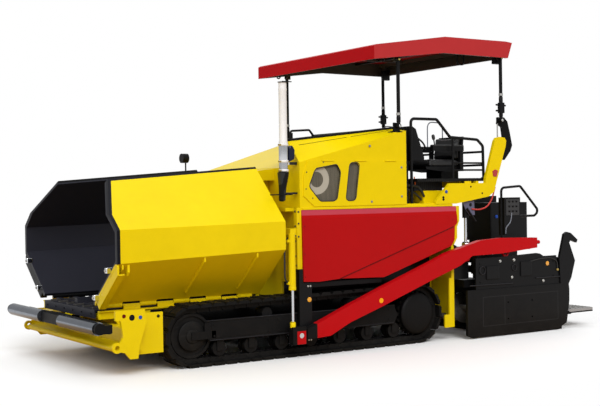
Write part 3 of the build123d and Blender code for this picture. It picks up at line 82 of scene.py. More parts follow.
# ------------------------------------------------------------------ shader groups
def new_group(name, inputs, outputs):
    """Shader node group of plain numbers: inputs by name and default, outputs by name."""
    tree = bpy.data.node_groups.new(name, "ShaderNodeTree")
    for label, default in inputs.items():
        socket = tree.interface.new_socket(label, in_out="INPUT", socket_type="NodeSocketFloat")
        socket.default_value = default
    for label in outputs:
        tree.interface.new_socket(label, in_out="OUTPUT", socket_type="NodeSocketFloat")
    return tree, tree.nodes.new("NodeGroupInput"), tree.nodes.new("NodeGroupOutput")


def node(tree, kind, links=None, **values):
    """Node with plain values by attribute or socket name, and links into its sockets."""
    made = tree.nodes.new(kind)
    for key, value in values.items():
        if hasattr(made, key):
            setattr(made, key, value)
        else:
            made.inputs[key.replace("_", " ")].default_value = value
    for key, source in (links or {}).items():
        tree.links.new(source, made.inputs[key])
    return made


def feed(tree, target, **sources):
    """Links into a node's sockets, by socket name."""
    for key, source in sources.items():
        tree.links.new(source, target.inputs[key.replace("_", " ")])


def math_node(tree, operation, a, b=None, c=None, clamp=False):
    made = tree.nodes.new("ShaderNodeMath")
    made.operation = operation
    made.use_clamp = clamp
    for index, value in enumerate((a, b, c)):
        if value is None:
            continue
        if isinstance(value, (int, float)):
            made.inputs[index].default_value = value
        else:
            tree.links.new(value, made.inputs[index])
    return made.outputs[0]


def scaled(tree, a, factor, rest, clamp=False):
    """a times factor, plus the rest."""
    return math_node(tree, "MULTIPLY_ADD", a, factor, rest, clamp)


def times(tree, a, b, clamp=False):
    return math_node(tree, "MULTIPLY", a, b, clamp=clamp)


def minus(tree, a, b, clamp=False):
    return math_node(tree, "SUBTRACT", a, b, clamp=clamp)


def above(tree, a, b):
    """1 where a is the greater, else 0."""
    return math_node(tree, "GREATER_THAN", a, b)


def below(tree, a, b):
    """1 where a is the lesser, else 0."""
    return math_node(tree, "LESS_THAN", a, b)


def larger(tree, a, b):
    return math_node(tree, "MAXIMUM", a, b)


def mix_colour(tree, factor, a, b):
    made = tree.nodes.new("ShaderNodeMix")
    made.data_type = "RGBA"
    for index, value in ((0, factor), (6, a), (7, b)):
        if isinstance(value, (int, float)):
            made.inputs[index].default_value = value
        elif isinstance(value, tuple):
            made.inputs[index].default_value = (*value, 1)
        else:
            tree.links.new(value, made.inputs[index])
    return made.outputs[2]


def place_output(tree):
    """The machine's own coordinates, in metres."""
    return tree.nodes.new("ShaderNodeTexCoord").outputs["Object"]


def split_place(tree):
    """X, Y and Z of the machine's own coordinates."""
    return node(tree, "ShaderNodeSeparateXYZ", {0: place_output(tree)}).outputs


def split_normal(tree):
    """X, Y and Z of the way that a face looks."""
    normal = tree.nodes.new("ShaderNodeNewGeometry").outputs["Normal"]
    return node(tree, "ShaderNodeSeparateXYZ", {0: normal}).outputs


def noise(tree, scale, detail=3.0, rough=0.55, vector=None, stretch=None):
    """Noise over the object's own coordinates, stretched if asked."""
    where = vector or place_output(tree)
    if stretch:
        mapping = node(tree, "ShaderNodeMapping", {"Vector": where})
        mapping.inputs["Scale"].default_value = stretch
        where = mapping.outputs[0]
    made = node(tree, "ShaderNodeTexNoise", {"Vector": where}, Scale=scale, Detail=detail, Roughness=rough)
    return made.outputs["Fac"]


def ramp(tree, value, low, high):
    """Value eased from 0 at low to 1 at high."""
    made = node(tree, "ShaderNodeMapRange", {"Value": value}, interpolation_type="SMOOTHSTEP")
    made.inputs["From Min"].default_value = low
    made.inputs["From Max"].default_value = high
    return made.outputs["Result"]


def make_coat_group():
    """Sprayed coat: cloudy tone, orange peel and a few dull rub marks."""
    given = {"Peel": 1.0, "Gloss": 0.3, "Rub": 0.2}
    tree, source, sink = new_group("sprayed_coat", given, ("Tone", "Roughness", "Height"))
    cloud = noise(tree, 1.6, 4)
    fine = noise(tree, 9.0, 5)
    rub = ramp(tree, noise(tree, 22, 6, 0.7, stretch=(0.5, 1.0, 1.6)), 0.60, 0.74)
    peel = noise(tree, 260, 1)
    feed(tree, sink, Tone=scaled(tree, cloud, 0.6, times(tree, fine, 0.4)))
    wide = scaled(tree, fine, 0.12, source.outputs["Gloss"])
    marks = times(tree, rub, source.outputs["Rub"])
    feed(tree, sink, Roughness=math_node(tree, "ADD", wide, marks, clamp=True))
    feed(tree, sink, Height=times(tree, peel, source.outputs["Peel"]))
    return tree


def make_dust_group():
    """Dust that gathers near the ground and on faces that look up."""
    tree, source, sink = new_group("road_dust", {"Amount": 0.5, "Reach": 0.9}, ("Mask",))
    rise = math_node(tree, "DIVIDE", split_place(tree)["Z"], source.outputs["Reach"])
    low = minus(tree, 1.0, rise, clamp=True)
    up = times(tree, larger(tree, split_normal(tree)["Z"], 0.0), 0.55)
    patch = ramp(tree, noise(tree, 5.5, 7, 0.68), 0.36, 0.72)
    speck = ramp(tree, noise(tree, 70, 3, 0.7), 0.45, 0.75)
    spread = math_node(tree, "ADD", low, up, clamp=True)
    both = times(tree, spread, scaled(tree, speck, 0.5, patch, clamp=True))
    feed(tree, sink, Mask=times(tree, both, source.outputs["Amount"], clamp=True))
    return tree


def make_wear_group():
    """Long rub streaks and scattered chips where bare metal shows."""
    tree, source, sink = new_group("bare_wear", {"Amount": 0.5, "Size": 1.0}, ("Mask",))
    scale = times(tree, source.outputs["Size"], 26)
    streak = node(tree, "ShaderNodeTexNoise", Detail=6.0, Roughness=0.65)
    mapping = node(tree, "ShaderNodeMapping", {"Vector": place_output(tree)})
    mapping.inputs["Scale"].default_value = (0.18, 1.0, 1.0)
    feed(tree, streak, Vector=mapping.outputs[0])
    feed(tree, streak, Scale=scale)
    chips = ramp(tree, noise(tree, 48, 4, 0.75), 0.66, 0.73)
    long_marks = ramp(tree, streak.outputs["Fac"], 0.58, 0.70)
    total = larger(tree, times(tree, long_marks, 0.7), chips)
    feed(tree, sink, Mask=times(tree, total, source.outputs["Amount"], clamp=True))
    return tree


def make_tread_group():
    """Raised anti-slip lozenges in two directions, seen from above."""
    tree, source, sink = new_group("anti_slip", {"Pitch": 30.0}, ("Height",))
    place = split_place(tree)
    waves = []
    for sign in (1, -1):
        along = scaled(tree, place["Y"], float(sign), place["X"])
        cycles = times(tree, along, source.outputs["Pitch"])
        waves.append(math_node(tree, "SINE", times(tree, cycles, ONE_TURN)))
    cell = times(tree, *waves)
    feed(tree, sink, Height=ramp(tree, cell, 0.45, 0.75))
    return tree


COAT = make_coat_group()
ROAD_DUST = make_dust_group()
WEAR = make_wear_group()
ANTI_SLIP = make_tread_group()


def use_group(tree, group, **values):
    made = tree.nodes.new("ShaderNodeGroup")
    made.node_tree = group
    for key, value in values.items():
        made.inputs[key].default_value = value
    return made


def start_material(name):
    material = bpy.data.materials.new(name)
    material.use_nodes = True
    tree = material.node_tree
    return material, tree, tree.nodes["Principled BSDF"]


def shade(colour, amount):
    return tuple(c * amount for c in colour)


def add_bump(tree, shader, height, strength, distance):
    bump = node(tree, "ShaderNodeBump", {"Height": height})
    bump.inputs["Strength"].default_value = strength
    bump.inputs["Distance"].default_value = distance
    feed(tree, shader, Normal=bump.outputs[0])


def painted(
    name, colour, gloss=0.26, peel=1.0, rub=0.12, dust=0.0, wear=0.0, coat=0.06,
    tread=None, metal=STEEL, reach=0.9, sheen=0.12, other=(),
):
    """Sprayed paint, with road dust, bare wear, an anti-slip pattern and other colours where asked."""
    material, tree, shader = start_material(name)
    spray = use_group(tree, COAT, Peel=peel, Gloss=gloss, Rub=rub)
    light = tuple(min(1.0, c * 1.08) for c in colour)
    tint = mix_colour(tree, spray.outputs["Tone"], shade(colour, 0.86), light)
    rough = spray.outputs["Roughness"]
    for second, find_mask in other:
        deep = mix_colour(tree, spray.outputs["Tone"], shade(second, 0.86), second)
        tint = mix_colour(tree, find_mask(tree), tint, deep)
    if wear:
        bare = use_group(tree, WEAR, Amount=wear)
        tint = mix_colour(tree, bare.outputs["Mask"], tint, metal)
        feed(tree, shader, Metallic=times(tree, bare.outputs["Mask"], 0.8))
    if dust:
        film = use_group(tree, ROAD_DUST, Amount=dust, Reach=reach)
        tint = mix_colour(tree, film.outputs["Mask"], tint, DUST)
        rough = scaled(tree, film.outputs["Mask"], 0.55, rough, clamp=True)
    feed(tree, shader, Base_Color=tint, Roughness=rough)
    for socket, value in (("Specular IOR Level", sheen), ("Coat Weight", coat), ("Coat Roughness", 0.12)):
        shader.inputs[socket].default_value = value
    if tread:
        pattern = use_group(tree, ANTI_SLIP, Pitch=tread)
        add_bump(tree, shader, pattern.outputs["Height"], 0.9, 0.003)
    else:
        add_bump(tree, shader, spray.outputs["Height"], 0.08, 0.0006)
    return material


def bare_metal(name, colour, rough=0.3, grain=(1, 1, 1), grain_scale=120, dirt=0.2, dark=BLACK, dust=0.0):
    """Bare metal with a directional grain, stains and dust."""
    material, tree, shader = start_material(name)
    lines = noise(tree, grain_scale, 4, 0.6, stretch=grain)
    stain = ramp(tree, noise(tree, 7, 6, 0.7), 0.42, 0.78)
    tint = mix_colour(tree, lines, shade(colour, 0.78), colour)
    tint = mix_colour(tree, times(tree, stain, dirt), tint, dark)
    dull = scaled(tree, stain, 0.2 * dirt, rough - 0.09)
    roughness = scaled(tree, lines, 0.18, dull)
    metallic = minus(tree, 1.0, times(tree, stain, dirt * 0.6))
    if dust:
        film = use_group(tree, ROAD_DUST, Amount=dust)
        tint = mix_colour(tree, film.outputs["Mask"], tint, DUST)
        metallic = minus(tree, metallic, film.outputs["Mask"], clamp=True)
    feed(tree, shader, Base_Color=tint, Roughness=roughness, Metallic=metallic)
    add_bump(tree, shader, lines, 0.12, 0.0008)
    return material


def grained(name, colour, rough=0.55, cell=900, strength=0.35, depth=0.0006):
    """Moulded plastic, rubber or vinyl with a pebbled grain."""
    material, tree, shader = start_material(name)
    where = {"Vector": place_output(tree)}
    pebble = node(tree, "ShaderNodeTexVoronoi", where, Scale=cell, feature="SMOOTH_F1")
    cloud = noise(tree, 6, 5)
    tint = mix_colour(tree, cloud, shade(colour, 0.7), shade(colour, 1.35))
    feed(tree, shader, Base_Color=tint)
    feed(tree, shader, Roughness=scaled(tree, cloud, 0.15, rough - 0.07))
    add_bump(tree, shader, pebble.outputs["Distance"], strength, depth)
    return material


def lens(name, colour):
    """Moulded reflector: prism cells under a clear face."""
    material, tree, shader = start_material(name)
    cells = node(tree, "ShaderNodeTexVoronoi", {"Vector": place_output(tree)}, Scale=260)
    tint = mix_colour(tree, cells.outputs["Distance"], colour, shade(colour, 0.62))
    feed(tree, shader, Base_Color=tint)
    feed(tree, shader, Roughness=scaled(tree, cells.outputs["Distance"], 0.2, 0.12))
    shader.inputs["Coat Weight"].default_value = 1.0
    add_bump(tree, shader, cells.outputs["Distance"], 0.5, 0.001)
    return material


def perforated(name, colour, pitch=55.0, hole=(0.045, 0.04, 0.03)):
    """Fine woven guard: dark holes in a dusty wire mesh."""
    material, tree, shader = start_material(name)
    place = split_place(tree)
    waves = [math_node(tree, "SINE", times(tree, place[axis], pitch * ONE_TURN)) for axis in "XZ"]
    cell = times(tree, *waves)
    wire = ramp(tree, math_node(tree, "ABSOLUTE", cell), 0.05, 0.5)
    cloud = noise(tree, 4, 4)
    streak = ramp(tree, noise(tree, 46, 3, 0.6, stretch=(1.0, 1.0, 0.07)), 0.42, 0.62)
    tint = mix_colour(tree, wire, colour, hole)
    tint = mix_colour(tree, times(tree, streak, 0.55), tint, hole)
    tint = mix_colour(tree, times(tree, cloud, 0.3), tint, (0.12, 0.11, 0.075))
    feed(tree, shader, Base_Color=tint)
    feed(tree, shader, Roughness=scaled(tree, cloud, 0.2, 0.5))
    add_bump(tree, shader, wire, 0.4, 0.002)
    return material


def in_box(low, high, mirrored=False):
    """Mask maker: 1 inside a box of the node's own coordinates."""
    def find(tree):
        place = split_place(tree)
        mask = None
        for axis, a, b in zip("XYZ", low, high):
            value = place[axis]
            if axis == "Y" and mirrored:
                value = math_node(tree, "ABSOLUTE", value)
            both = times(tree, above(tree, value, a), below(tree, value, b))
            mask = both if mask is None else times(tree, mask, both)
        return mask
    return find


def disc_mask(centre, radius):
    """Mask maker: 1 inside a disc on the machine's outermost faces."""
    def find(tree):
        place = split_place(tree)
        along = minus(tree, place["X"], centre[0])
        up = minus(tree, place["Z"], centre[1])
        square = scaled(tree, along, along, times(tree, up, up))
        inside = below(tree, square, radius * radius)
        outer = above(tree, math_node(tree, "ABSOLUTE", place["Y"]), SIDE_FACE - 0.003)
        return times(tree, inside, outer)
    return find


def faces_inward(tree):
    """Mask of faces that look towards the machine's centre plane."""
    side = math_node(tree, "SIGN", split_place(tree)["Y"])
    outward = times(tree, split_normal(tree)["Y"], side)
    return below(tree, outward, -0.25)


def wing_rim(tree):
    """Mask of the wing's rim: a band along its raked front edge and a thin one along its top."""
    front_x, knee_z, rake = 3.185, 1.576, 0.4985
    front_top_z, fall = 1.917, 0.06945
    front_band, top_band, lowest = 0.034, 0.022, 1.10
    place = split_place(tree)
    x, z = place["X"], place["Z"]
    lean = larger(tree, minus(tree, z, knee_z), 0.0)
    edge = scaled(tree, lean, -rake, front_x - front_band)
    ahead = above(tree, x, edge)
    front = times(tree, ahead, above(tree, z, lowest))
    top = scaled(tree, x, -fall, front_top_z + front_x * fall - top_band)
    return larger(tree, front, above(tree, z, top))


def painted_underside_light(tree):
    """Mask of faces that look down or stand inside the canopy's rim, where a lighter grey is painted to
    light up the shaded underside.
    """
    inside = in_box((-2.020, -ROOF_SIDE, 3.0), (ROOF_FRONT, ROOF_SIDE, 3.522))(tree)
    return times(tree, inside, below(tree, split_normal(tree)["Z"], 0.5))


def gate_lines():
    """Lighter lines on the lower plate of an end gate, painted as highlights where an inset frame's edges
    would catch light, as (colour, mask) pairs.
    """
    frame_highlight, face = (0.020, 0.020, 0.022), SIDE_FACE - 0.005
    rear, middle, front = -2.750, -1.850, -1.500
    low, high, width = 0.135, 0.480, 0.009
    level = [((rear, face, z), (front, 2.0, z + 0.007)) for z in (low, high)]
    upright = [((x, face, low), (x + width, 2.0, high + 0.007)) for x in (rear, middle, front)]
    return [(frame_highlight, in_box(start, end, True)) for start, end in level + upright]


WORN = (0.16, 0.16, 0.17)
SCREED_WEAR = dict(gloss=0.38, rub=0.2, dust=0.03, wear=0.012, metal=WORN, coat=0.03, reach=0.7)
# Places of the second colours. Where a box reaches to 2.0 or beyond, it goes past the machine's own faces
HOOD_TAIL = in_box((-0.410, 1.03, 2.430), (-0.280, 2.0, 3.0), True)
TOW_FACE = in_box((1.032, 1.262, 0.154), (1.143, 2.0, 0.293), True)
TOW_BOLT = disc_mask((1.085, 0.245), 0.027)
WING_FOOT = in_box((1.0, -0.712, 0.0), (3.5, 0.712, 0.700))
RIGHT_FLANGE = in_box((3.130, -2.0, 0.6), (3.3, 0.0, 1.25))
BAY_INSIDE = in_box((-1.110, -0.1, 0.0), (0.975, 1.088, 1.55), True)
FRAME_FOOT = in_box((-2.0, -1.0, 0.0), (2.600, 2.0, 0.585))
FRAME_NOSE = in_box((1.0, -0.730, 0.585), (3.5, 0.730, 0.700))
BEAM_INSIDE = in_box((-2.3, -0.1, 2.05), (-1.860, 1.1305, 2.8), True)
BEAM_TOP = in_box((-2.3, -0.1, 2.410), (-1.5, 2.0, 2.8), True)
# Painted reflection: a lighter, pinker band along the top of the red side panels, standing for the sky
# mirrored in their leaning top band
PANEL_SKY_REFLECTION = in_box((-2.0, -0.1, 1.515), (2.0, 2.0, 1.70), True)
ARM_SHOE = in_box((0.885, -0.1, 0.0), (1.2, 2.0, 0.5), True)
ARM_REFLECTOR = disc_mask((0.021, 0.547), 0.028)
# Painted light: the canopy's side rims get a lighter, paler red than its front, as if lit from the side
LIT_ROOF_SIDES = in_box((-3.0, ROOF_SIDE, 3.0), (ROOF_FRONT, 2.0, 4.0), True)
STEP_FOOT = in_box((-4.0, -2.0, 0.0), (-1.0, 2.0, 0.199))
STACK_FOOT = in_box((0.9, -0.1, 1.0), (1.6, 2.0, 1.985))
STACK_BACK = in_box((0.9, -0.1, 1.0), (1.105, 2.0, 2.8))
MAT = {
    "yellow": painted("yellow_coat", YELLOW, gloss=0.30, sheen=0.07),
    "hood_yellow": painted("hood_yellow_coat", YELLOW, gloss=0.30, sheen=0.07, other=[(BLACK, HOOD_TAIL)]),
    "flange_yellow": painted(
        "flange_yellow_coat", YELLOW, gloss=0.30, sheen=0.09,
        other=[(BLACK, faces_inward)],
    ),
    "bracket_grey": painted("bracket_grey", (0.115, 0.115, 0.185), gloss=0.4),
    "hose_red": painted("hose_red", (0.52, 0.05, 0.045), gloss=0.4),
    "orange": painted("cable_orange", (0.75, 0.16, 0.03), gloss=0.4),
    "tow_black": painted(
        "tow_point_coat", BLACK, gloss=0.42, rub=0.25, dust=0.03, coat=0.0, reach=0.6,
        other=[(ARM_RED, TOW_FACE), ((0.55, 0.56, 0.58), TOW_BOLT)],
    ),
    "wing_yellow": painted(
        "wing_yellow_coat", YELLOW, gloss=0.30, sheen=0.09,
        other=[
            ((0.0040, 0.0044, 0.0080), wing_rim), (BLACK, WING_FOOT),
            (BLACK, RIGHT_FLANGE), (BLACK, faces_inward),
        ],
    ),
    "bay_yellow": painted("bay_yellow_coat", YELLOW, gloss=0.34, other=[(BLACK, BAY_INSIDE)]),
    "frame_yellow": painted(
        "frame_yellow_coat", YELLOW, gloss=0.34,
        other=[(BLACK, FRAME_FOOT), (BLACK, FRAME_NOSE)],
    ),
    "beam_yellow": painted(
        "beam_yellow_coat", YELLOW, gloss=0.30, sheen=0.07,
        other=[(BLACK, BEAM_INSIDE), (BLACK, BEAM_TOP)],
    ),
    "yellow_low": painted("yellow_coat_low", YELLOW, gloss=0.34, dust=0.05, rub=0.2, reach=0.5),
    # Red side panels, with the painted sky reflection along their top band
    "red": painted("red_coat", RED, gloss=0.34, sheen=0.08, other=[((0.50, 0.055, 0.085), PANEL_SKY_REFLECTION)]),
    # Dark red: the plug in the bumper's front tube, and the painted shade line along the side panels' fold
    "red_dark": painted("dark_red_and_fold_shade", (0.12, 0.002, 0.003), gloss=0.5, sheen=0.1),
    "red_bolt": painted("red_bolt_coat", (0.30, 0.004, 0.006), gloss=0.3),
    "arm_red": painted(
        "arm_red_coat", ARM_RED, gloss=0.34, dust=0.03, reach=0.5, sheen=0.08,
        other=[(BLACK, ARM_SHOE), (AMBER, ARM_REFLECTOR)],
    ),
    # Canopy roof: painted light on its side rims, and a painted lighter grey under the roof
    "canopy_red": painted(
        "canopy_red_shell", CANOPY_RED, gloss=0.42, peel=0.3, sheen=0.04,
        other=[((0.47, 0.034, 0.038), LIT_ROOF_SIDES), ((0.072, 0.072, 0.080), painted_underside_light)],
    ),
    "canopy_black": painted("canopy_black", (0.008, 0.009, 0.010), gloss=0.5),
    "black": painted("black_coat", BLACK, gloss=0.36, rub=0.2),
    "navy": painted("navy_coat", (0.010, 0.013, 0.034), gloss=0.22, coat=0.3),
    # Darkened yellow, painted along the hood's creases as their shadow
    "shade_line": painted("crease_shadow_coat", (0.14, 0.105, 0.004), gloss=0.6),
    "black_low": painted(
        "black_coat_low", BLACK, gloss=0.42, rub=0.25, dust=0.04, wear=0.012, coat=0.0,
        metal=WORN, reach=0.6,
    ),
    "drive_black": painted("drive_black", (0.0055, 0.0055, 0.0060), gloss=0.40, rub=0.15, coat=0.0),
    "track_pad": painted(
        "track_pad", (0.0055, 0.0054, 0.0055), gloss=0.50, rub=0.2, dust=0.05, wear=0.05, coat=0.0,
        metal=(0.11, 0.11, 0.12), reach=0.8,
    ),
    "worn_edge": painted("worn_edge", (0.020, 0.020, 0.023), gloss=0.34, wear=0.25, coat=0.0, metal=WORN),
    "screed_black": painted("screed_black", BLACK, **SCREED_WEAR),
    "walk_grey": painted(
        "walkway_grey", (0.33, 0.33, 0.34), gloss=0.45, rub=0.3, coat=0.0,
        other=[(BLACK, STEP_FOOT)],
    ),
    # End gates, with painted highlight lines on the lower plate
    "gate_black": painted("gate_coat", BLACK, other=gate_lines(), **SCREED_WEAR),
    # Liners and conveyor floor: dark colour with a painted sky-blue cast
    "liner": painted(
        "liner_black_sky_tinted", LINER_SKY_TINTED, gloss=0.36, rub=0.15, wear=0.008, metal=(0.10, 0.10, 0.11), coat=0.05,
    ),
    "floor_plate": painted("anti_slip_black", (0.0085, 0.0085, 0.009), gloss=0.45, coat=0.0, tread=16.0),
    "iron": painted(
        "track_iron", IRON, gloss=0.48, rub=0.25, dust=0.05, wear=0.10, coat=0.0,
        metal=(0.14, 0.14, 0.15), reach=1.0,
    ),
    "roller": bare_metal("roller_steel", (0.22, 0.24, 0.28), 0.20, grain=(1.0, 0.05, 1.0), dirt=0.25),
    "chrome": bare_metal("rod_chrome", (0.72, 0.73, 0.76), 0.14, grain=(1, 1, 0.05), dirt=0.05),
    "stack": painted(
        "stack_coat", (0.80, 0.81, 0.83), gloss=0.34, sheen=0.4,
        other=[(BLACK, STACK_FOOT), (BLACK, STACK_BACK)],
    ),
    "zinc": bare_metal("zinc_plate", ZINC, 0.32, dirt=0.15),
    "wear_steel": bare_metal(
        "auger_steel", (0.20, 0.19, 0.18), 0.42, grain=(1, 0.3, 1), dirt=0.75, dust=0.2,
    ),
    "sole_steel": bare_metal("sole_steel", (0.30, 0.30, 0.30), 0.38, grain=(0.1, 1, 1), dirt=0.5),
    "brass": bare_metal("gold_zinc", BRASS, 0.36, dirt=0.2),
    "vinyl": grained("seat_vinyl", VINYL, 0.46),
    "rubber": grained("hose_rubber", (0.010, 0.010, 0.010), 0.6, cell=500),
    "plastic": grained("moulded_black", PLASTIC, 0.5, cell=1400, strength=0.2),
    "grey_plastic": grained("moulded_grey", (0.16, 0.18, 0.22), 0.5, cell=1200, strength=0.2),
    "amber": lens("amber_reflector", AMBER),
    "red_lens": lens("red_lens", (0.5, 0.01, 0.008)),
    "blue": painted("blue_cap", (0.02, 0.08, 0.45), gloss=0.3),
    "mesh": perforated("guard_mesh", (0.20, 0.18, 0.13)),
    "fan": painted("fan_grey", (0.42, 0.40, 0.34), gloss=0.45, coat=0.0),
    "mirror": bare_metal("lamp_mirror", (0.80, 0.82, 0.85), 0.10, dirt=0.02),
}


# ------------------------------------------------------------------ mesh tools
def put_in_scene(name, mesh):
    piece = bpy.data.objects.new(name, mesh)
    bpy.context.scene.collection.objects.link(piece)
    return piece


def plain_mesh(name, bm):
    """Mesh of a bmesh whose faces are turned outwards."""
    bmesh.ops.recalc_face_normals(bm, faces=bm.faces)
    mesh = bpy.data.meshes.new(name)
    bm.to_mesh(mesh)
    bm.free()
    return mesh


def finish_mesh(name, bm, material, body, bevel=0.0, smooth=False):
    """Turns a bmesh into a piece that rides on a body."""
    mesh = plain_mesh(name, bm)
    piece = put_in_scene(name, mesh)
    mesh.materials.append(MAT[material])
    if smooth:
        mesh.polygons.foreach_set("use_smooth", [True] * len(mesh.polygons))
        mesh.set_sharp_from_angle(angle=math.radians(38))
    if bevel:
        edge = piece.modifiers.new("edge", "BEVEL")
        edge.width = bevel
        edge.segments = 2
        edge.limit_method = "ANGLE"
        edge.angle_limit = math.radians(35)
    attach(piece, body)
    return piece


def add_box(bm, low, high):
    """Box between two opposite corners."""
    low, high = Vector(low), Vector(high)
    size = high - low
    for vert in bmesh.ops.create_cube(bm, size=1.0)["verts"]:
        vert.co = Vector([low[i] + size[i] * (vert.co[i] + 0.5) for i in range(3)])


def add_prism(bm, outline, axis, low, high):
    """Prism of a 2-D outline, extruded along one axis. The outline gives the other two, in XYZ order."""
    others = [i for i in range(3) if i != axis]

    def put(point, depth):
        co = [0.0, 0.0, 0.0]
        co[others[0]], co[others[1]] = point
        co[axis] = depth
        return bm.verts.new(co)

    near = [put(p, low) for p in outline]
    far = [put(p, high) for p in outline]
    bm.faces.new(near)
    bm.faces.new(far[::-1])
    count = len(outline)
    for i in range(count):
        j = (i + 1) % count
        bm.faces.new((near[i], far[i], far[j], near[j]))


def round_angles(count):
    """Angles evenly spaced round a circle."""
    return [ONE_TURN * k / count for k in range(count)]


def circle_verts(bm, centre, side, up, radius, count):
    """Vertices of a circle about centre, in the plane of side and up."""
    spokes = [side * math.cos(a) + up * math.sin(a) for a in round_angles(count)]
    return [bm.verts.new(centre + spoke * radius) for spoke in spokes]


def join_rings(bm, pairs):
    """Faces between each pair of rings of equally many vertices."""
    for a, b in pairs:
        for k in range(len(a)):
            m = (k + 1) % len(a)
            bm.faces.new((a[k], a[m], b[m], b[k]))


def frame_for(direction):
    """Two unit vectors square to a direction."""
    direction = Vector(direction).normalized()
    helper = ALONG_Z if abs(direction.z) < 0.9 else ALONG_X
    side = direction.cross(helper).normalized()
    return side, side.cross(direction).normalized()


def add_turned(bm, start, direction, profile, sides=24):
    """Turned shape: profile of (distance along, radius) pairs from the start."""
    direction = Vector(direction).normalized()
    side, up = frame_for(direction)
    rings = []
    for along, radius in profile:
        rings.append(circle_verts(bm, Vector(start) + direction * along, side, up, radius, sides))
    join_rings(bm, zip(rings, rings[1:]))
    bm.faces.new(rings[0][::-1])
    bm.faces.new(rings[-1])


def round_path(points, bend, steps=6):
    """Points of a path whose corners are rounded."""
    points = [Vector(p) for p in points]
    path = [points[0]]
    for before, corner, after in zip(points, points[1:], points[2:]):
        first = (before - corner).normalized()
        second = (after - corner).normalized()
        reach = min(bend, (before - corner).length * 0.45, (after - corner).length * 0.45)
        a, b = corner + first * reach, corner + second * reach
        for k in range(steps + 1):
            t = k / steps
            path.append(a.lerp(corner, t).lerp(corner.lerp(b, t), t))
    path.append(points[-1])
    return path


def add_tube(bm, points, radius, sides=12, bend=0.05, closed=False):
    """Round bar along a path with rounded corners."""
    path = round_path(points, bend) if not closed else [Vector(p) for p in points]
    count = len(path)
    rings = []
    side = None
    for i, point in enumerate(path):
        before = path[i - 1] if (i > 0 or closed) else point
        after = path[(i + 1) % count] if (i < count - 1 or closed) else point
        along = (after - before).normalized()
        if side is None:
            side, _ = frame_for(along)
        side = (side - along * side.dot(along)).normalized()
        up = along.cross(side)
        rings.append(circle_verts(bm, point, side, up, radius, sides))
    join_rings(bm, zip(rings, rings[1:]))
    if closed:
        join_rings(bm, [(rings[-1], rings[0])])
    else:
        bm.faces.new(rings[0][::-1])
        bm.faces.new(rings[-1])


def span(sign, near, far):
    """Low and high of a stretch across the machine, on its left (1) or its right (-1)."""
    return sorted((sign * near, sign * far))


def head(radius, straight, rim, height):
    """Profile of a short round head: straight at first, then drawn in to its rim."""
    return [(0, radius), (straight, radius), (height, rim)]


def band(inner, outer, lead, height):
    """Profile of a round band whose two edges are eased over the same lead."""
    return [(0, inner), (lead, outer), (height - lead, outer), (height, inner)]


def box_piece(name, boxes, material, body, bevel=0.003):
    bm = bmesh.new()
    for low, high in boxes:
        add_box(bm, low, high)
    return finish_mesh(name, bm, material, body, bevel)


def prism_piece(name, prisms, material, body, bevel=0.003):
    """Piece of prisms, each an (outline, axis, low, high)."""
    bm = bmesh.new()
    for prism in prisms:
        add_prism(bm, *prism)
    return finish_mesh(name, bm, material, body, bevel)


def turned_piece(name, shapes, material, body, sides=24):
    bm = bmesh.new()
    for start, direction, profile in shapes:
        add_turned(bm, start, direction, profile, sides)
    return finish_mesh(name, bm, material, body, smooth=True)


def tube_piece(name, runs, radius, material, body, sides=12, bend=0.05):
    bm = bmesh.new()
    for points in runs:
        add_tube(bm, points, radius, sides, bend)
    return finish_mesh(name, bm, material, body, smooth=True)


def at_side(y, *points):
    """Points given by X and Z, all at one Y."""
    return [(x, y, z) for x, z in points]


def flip(points):
    """The same points on the machine's other side."""
    return [(x, -y, z) for x, y, z in points]


# ------------------------------------------------------------------ geometry-node repeats
def start_repeat_tree(name, inputs):
    """Tree that takes points and further inputs. Gives the tree, its input node and its points."""
    tree = bpy.data.node_groups.new(name, "GeometryNodeTree")
    tree.interface.new_socket("Geometry", in_out="INPUT", socket_type="NodeSocketGeometry")
    for label, default, kind in (*inputs, ("Finish", None, "NodeSocketMaterial")):
        socket = tree.interface.new_socket(label, in_out="INPUT", socket_type=kind)
        if default is not None:
            socket.default_value = default
    tree.interface.new_socket("Geometry", in_out="OUTPUT", socket_type="NodeSocketGeometry")
    source = tree.nodes.new("NodeGroupInput")
    points = node(tree, "GeometryNodeMeshToPoints", {"Mesh": source.outputs["Geometry"]})
    return tree, source.outputs, points


def end_repeat_tree(tree, given, points, part):
    """Puts the part at every point, turned as the point says, as real geometry with its finish."""
    turn = node(tree, "GeometryNodeInputNamedAttribute", data_type="FLOAT_VECTOR")
    turn.inputs["Name"].default_value = "turn"
    places = {"Points": points.outputs[0], "Instance": part, "Rotation": turn.outputs["Attribute"]}
    spread = node(tree, "GeometryNodeInstanceOnPoints", places)
    real = node(tree, "GeometryNodeRealizeInstances", {"Geometry": spread.outputs[0]})
    coat = node(tree, "GeometryNodeSetMaterial", {"Geometry": real.outputs[0], "Material": given["Finish"]})
    tree.links.new(coat.outputs[0], tree.nodes.new("NodeGroupOutput").inputs[0])
    return tree


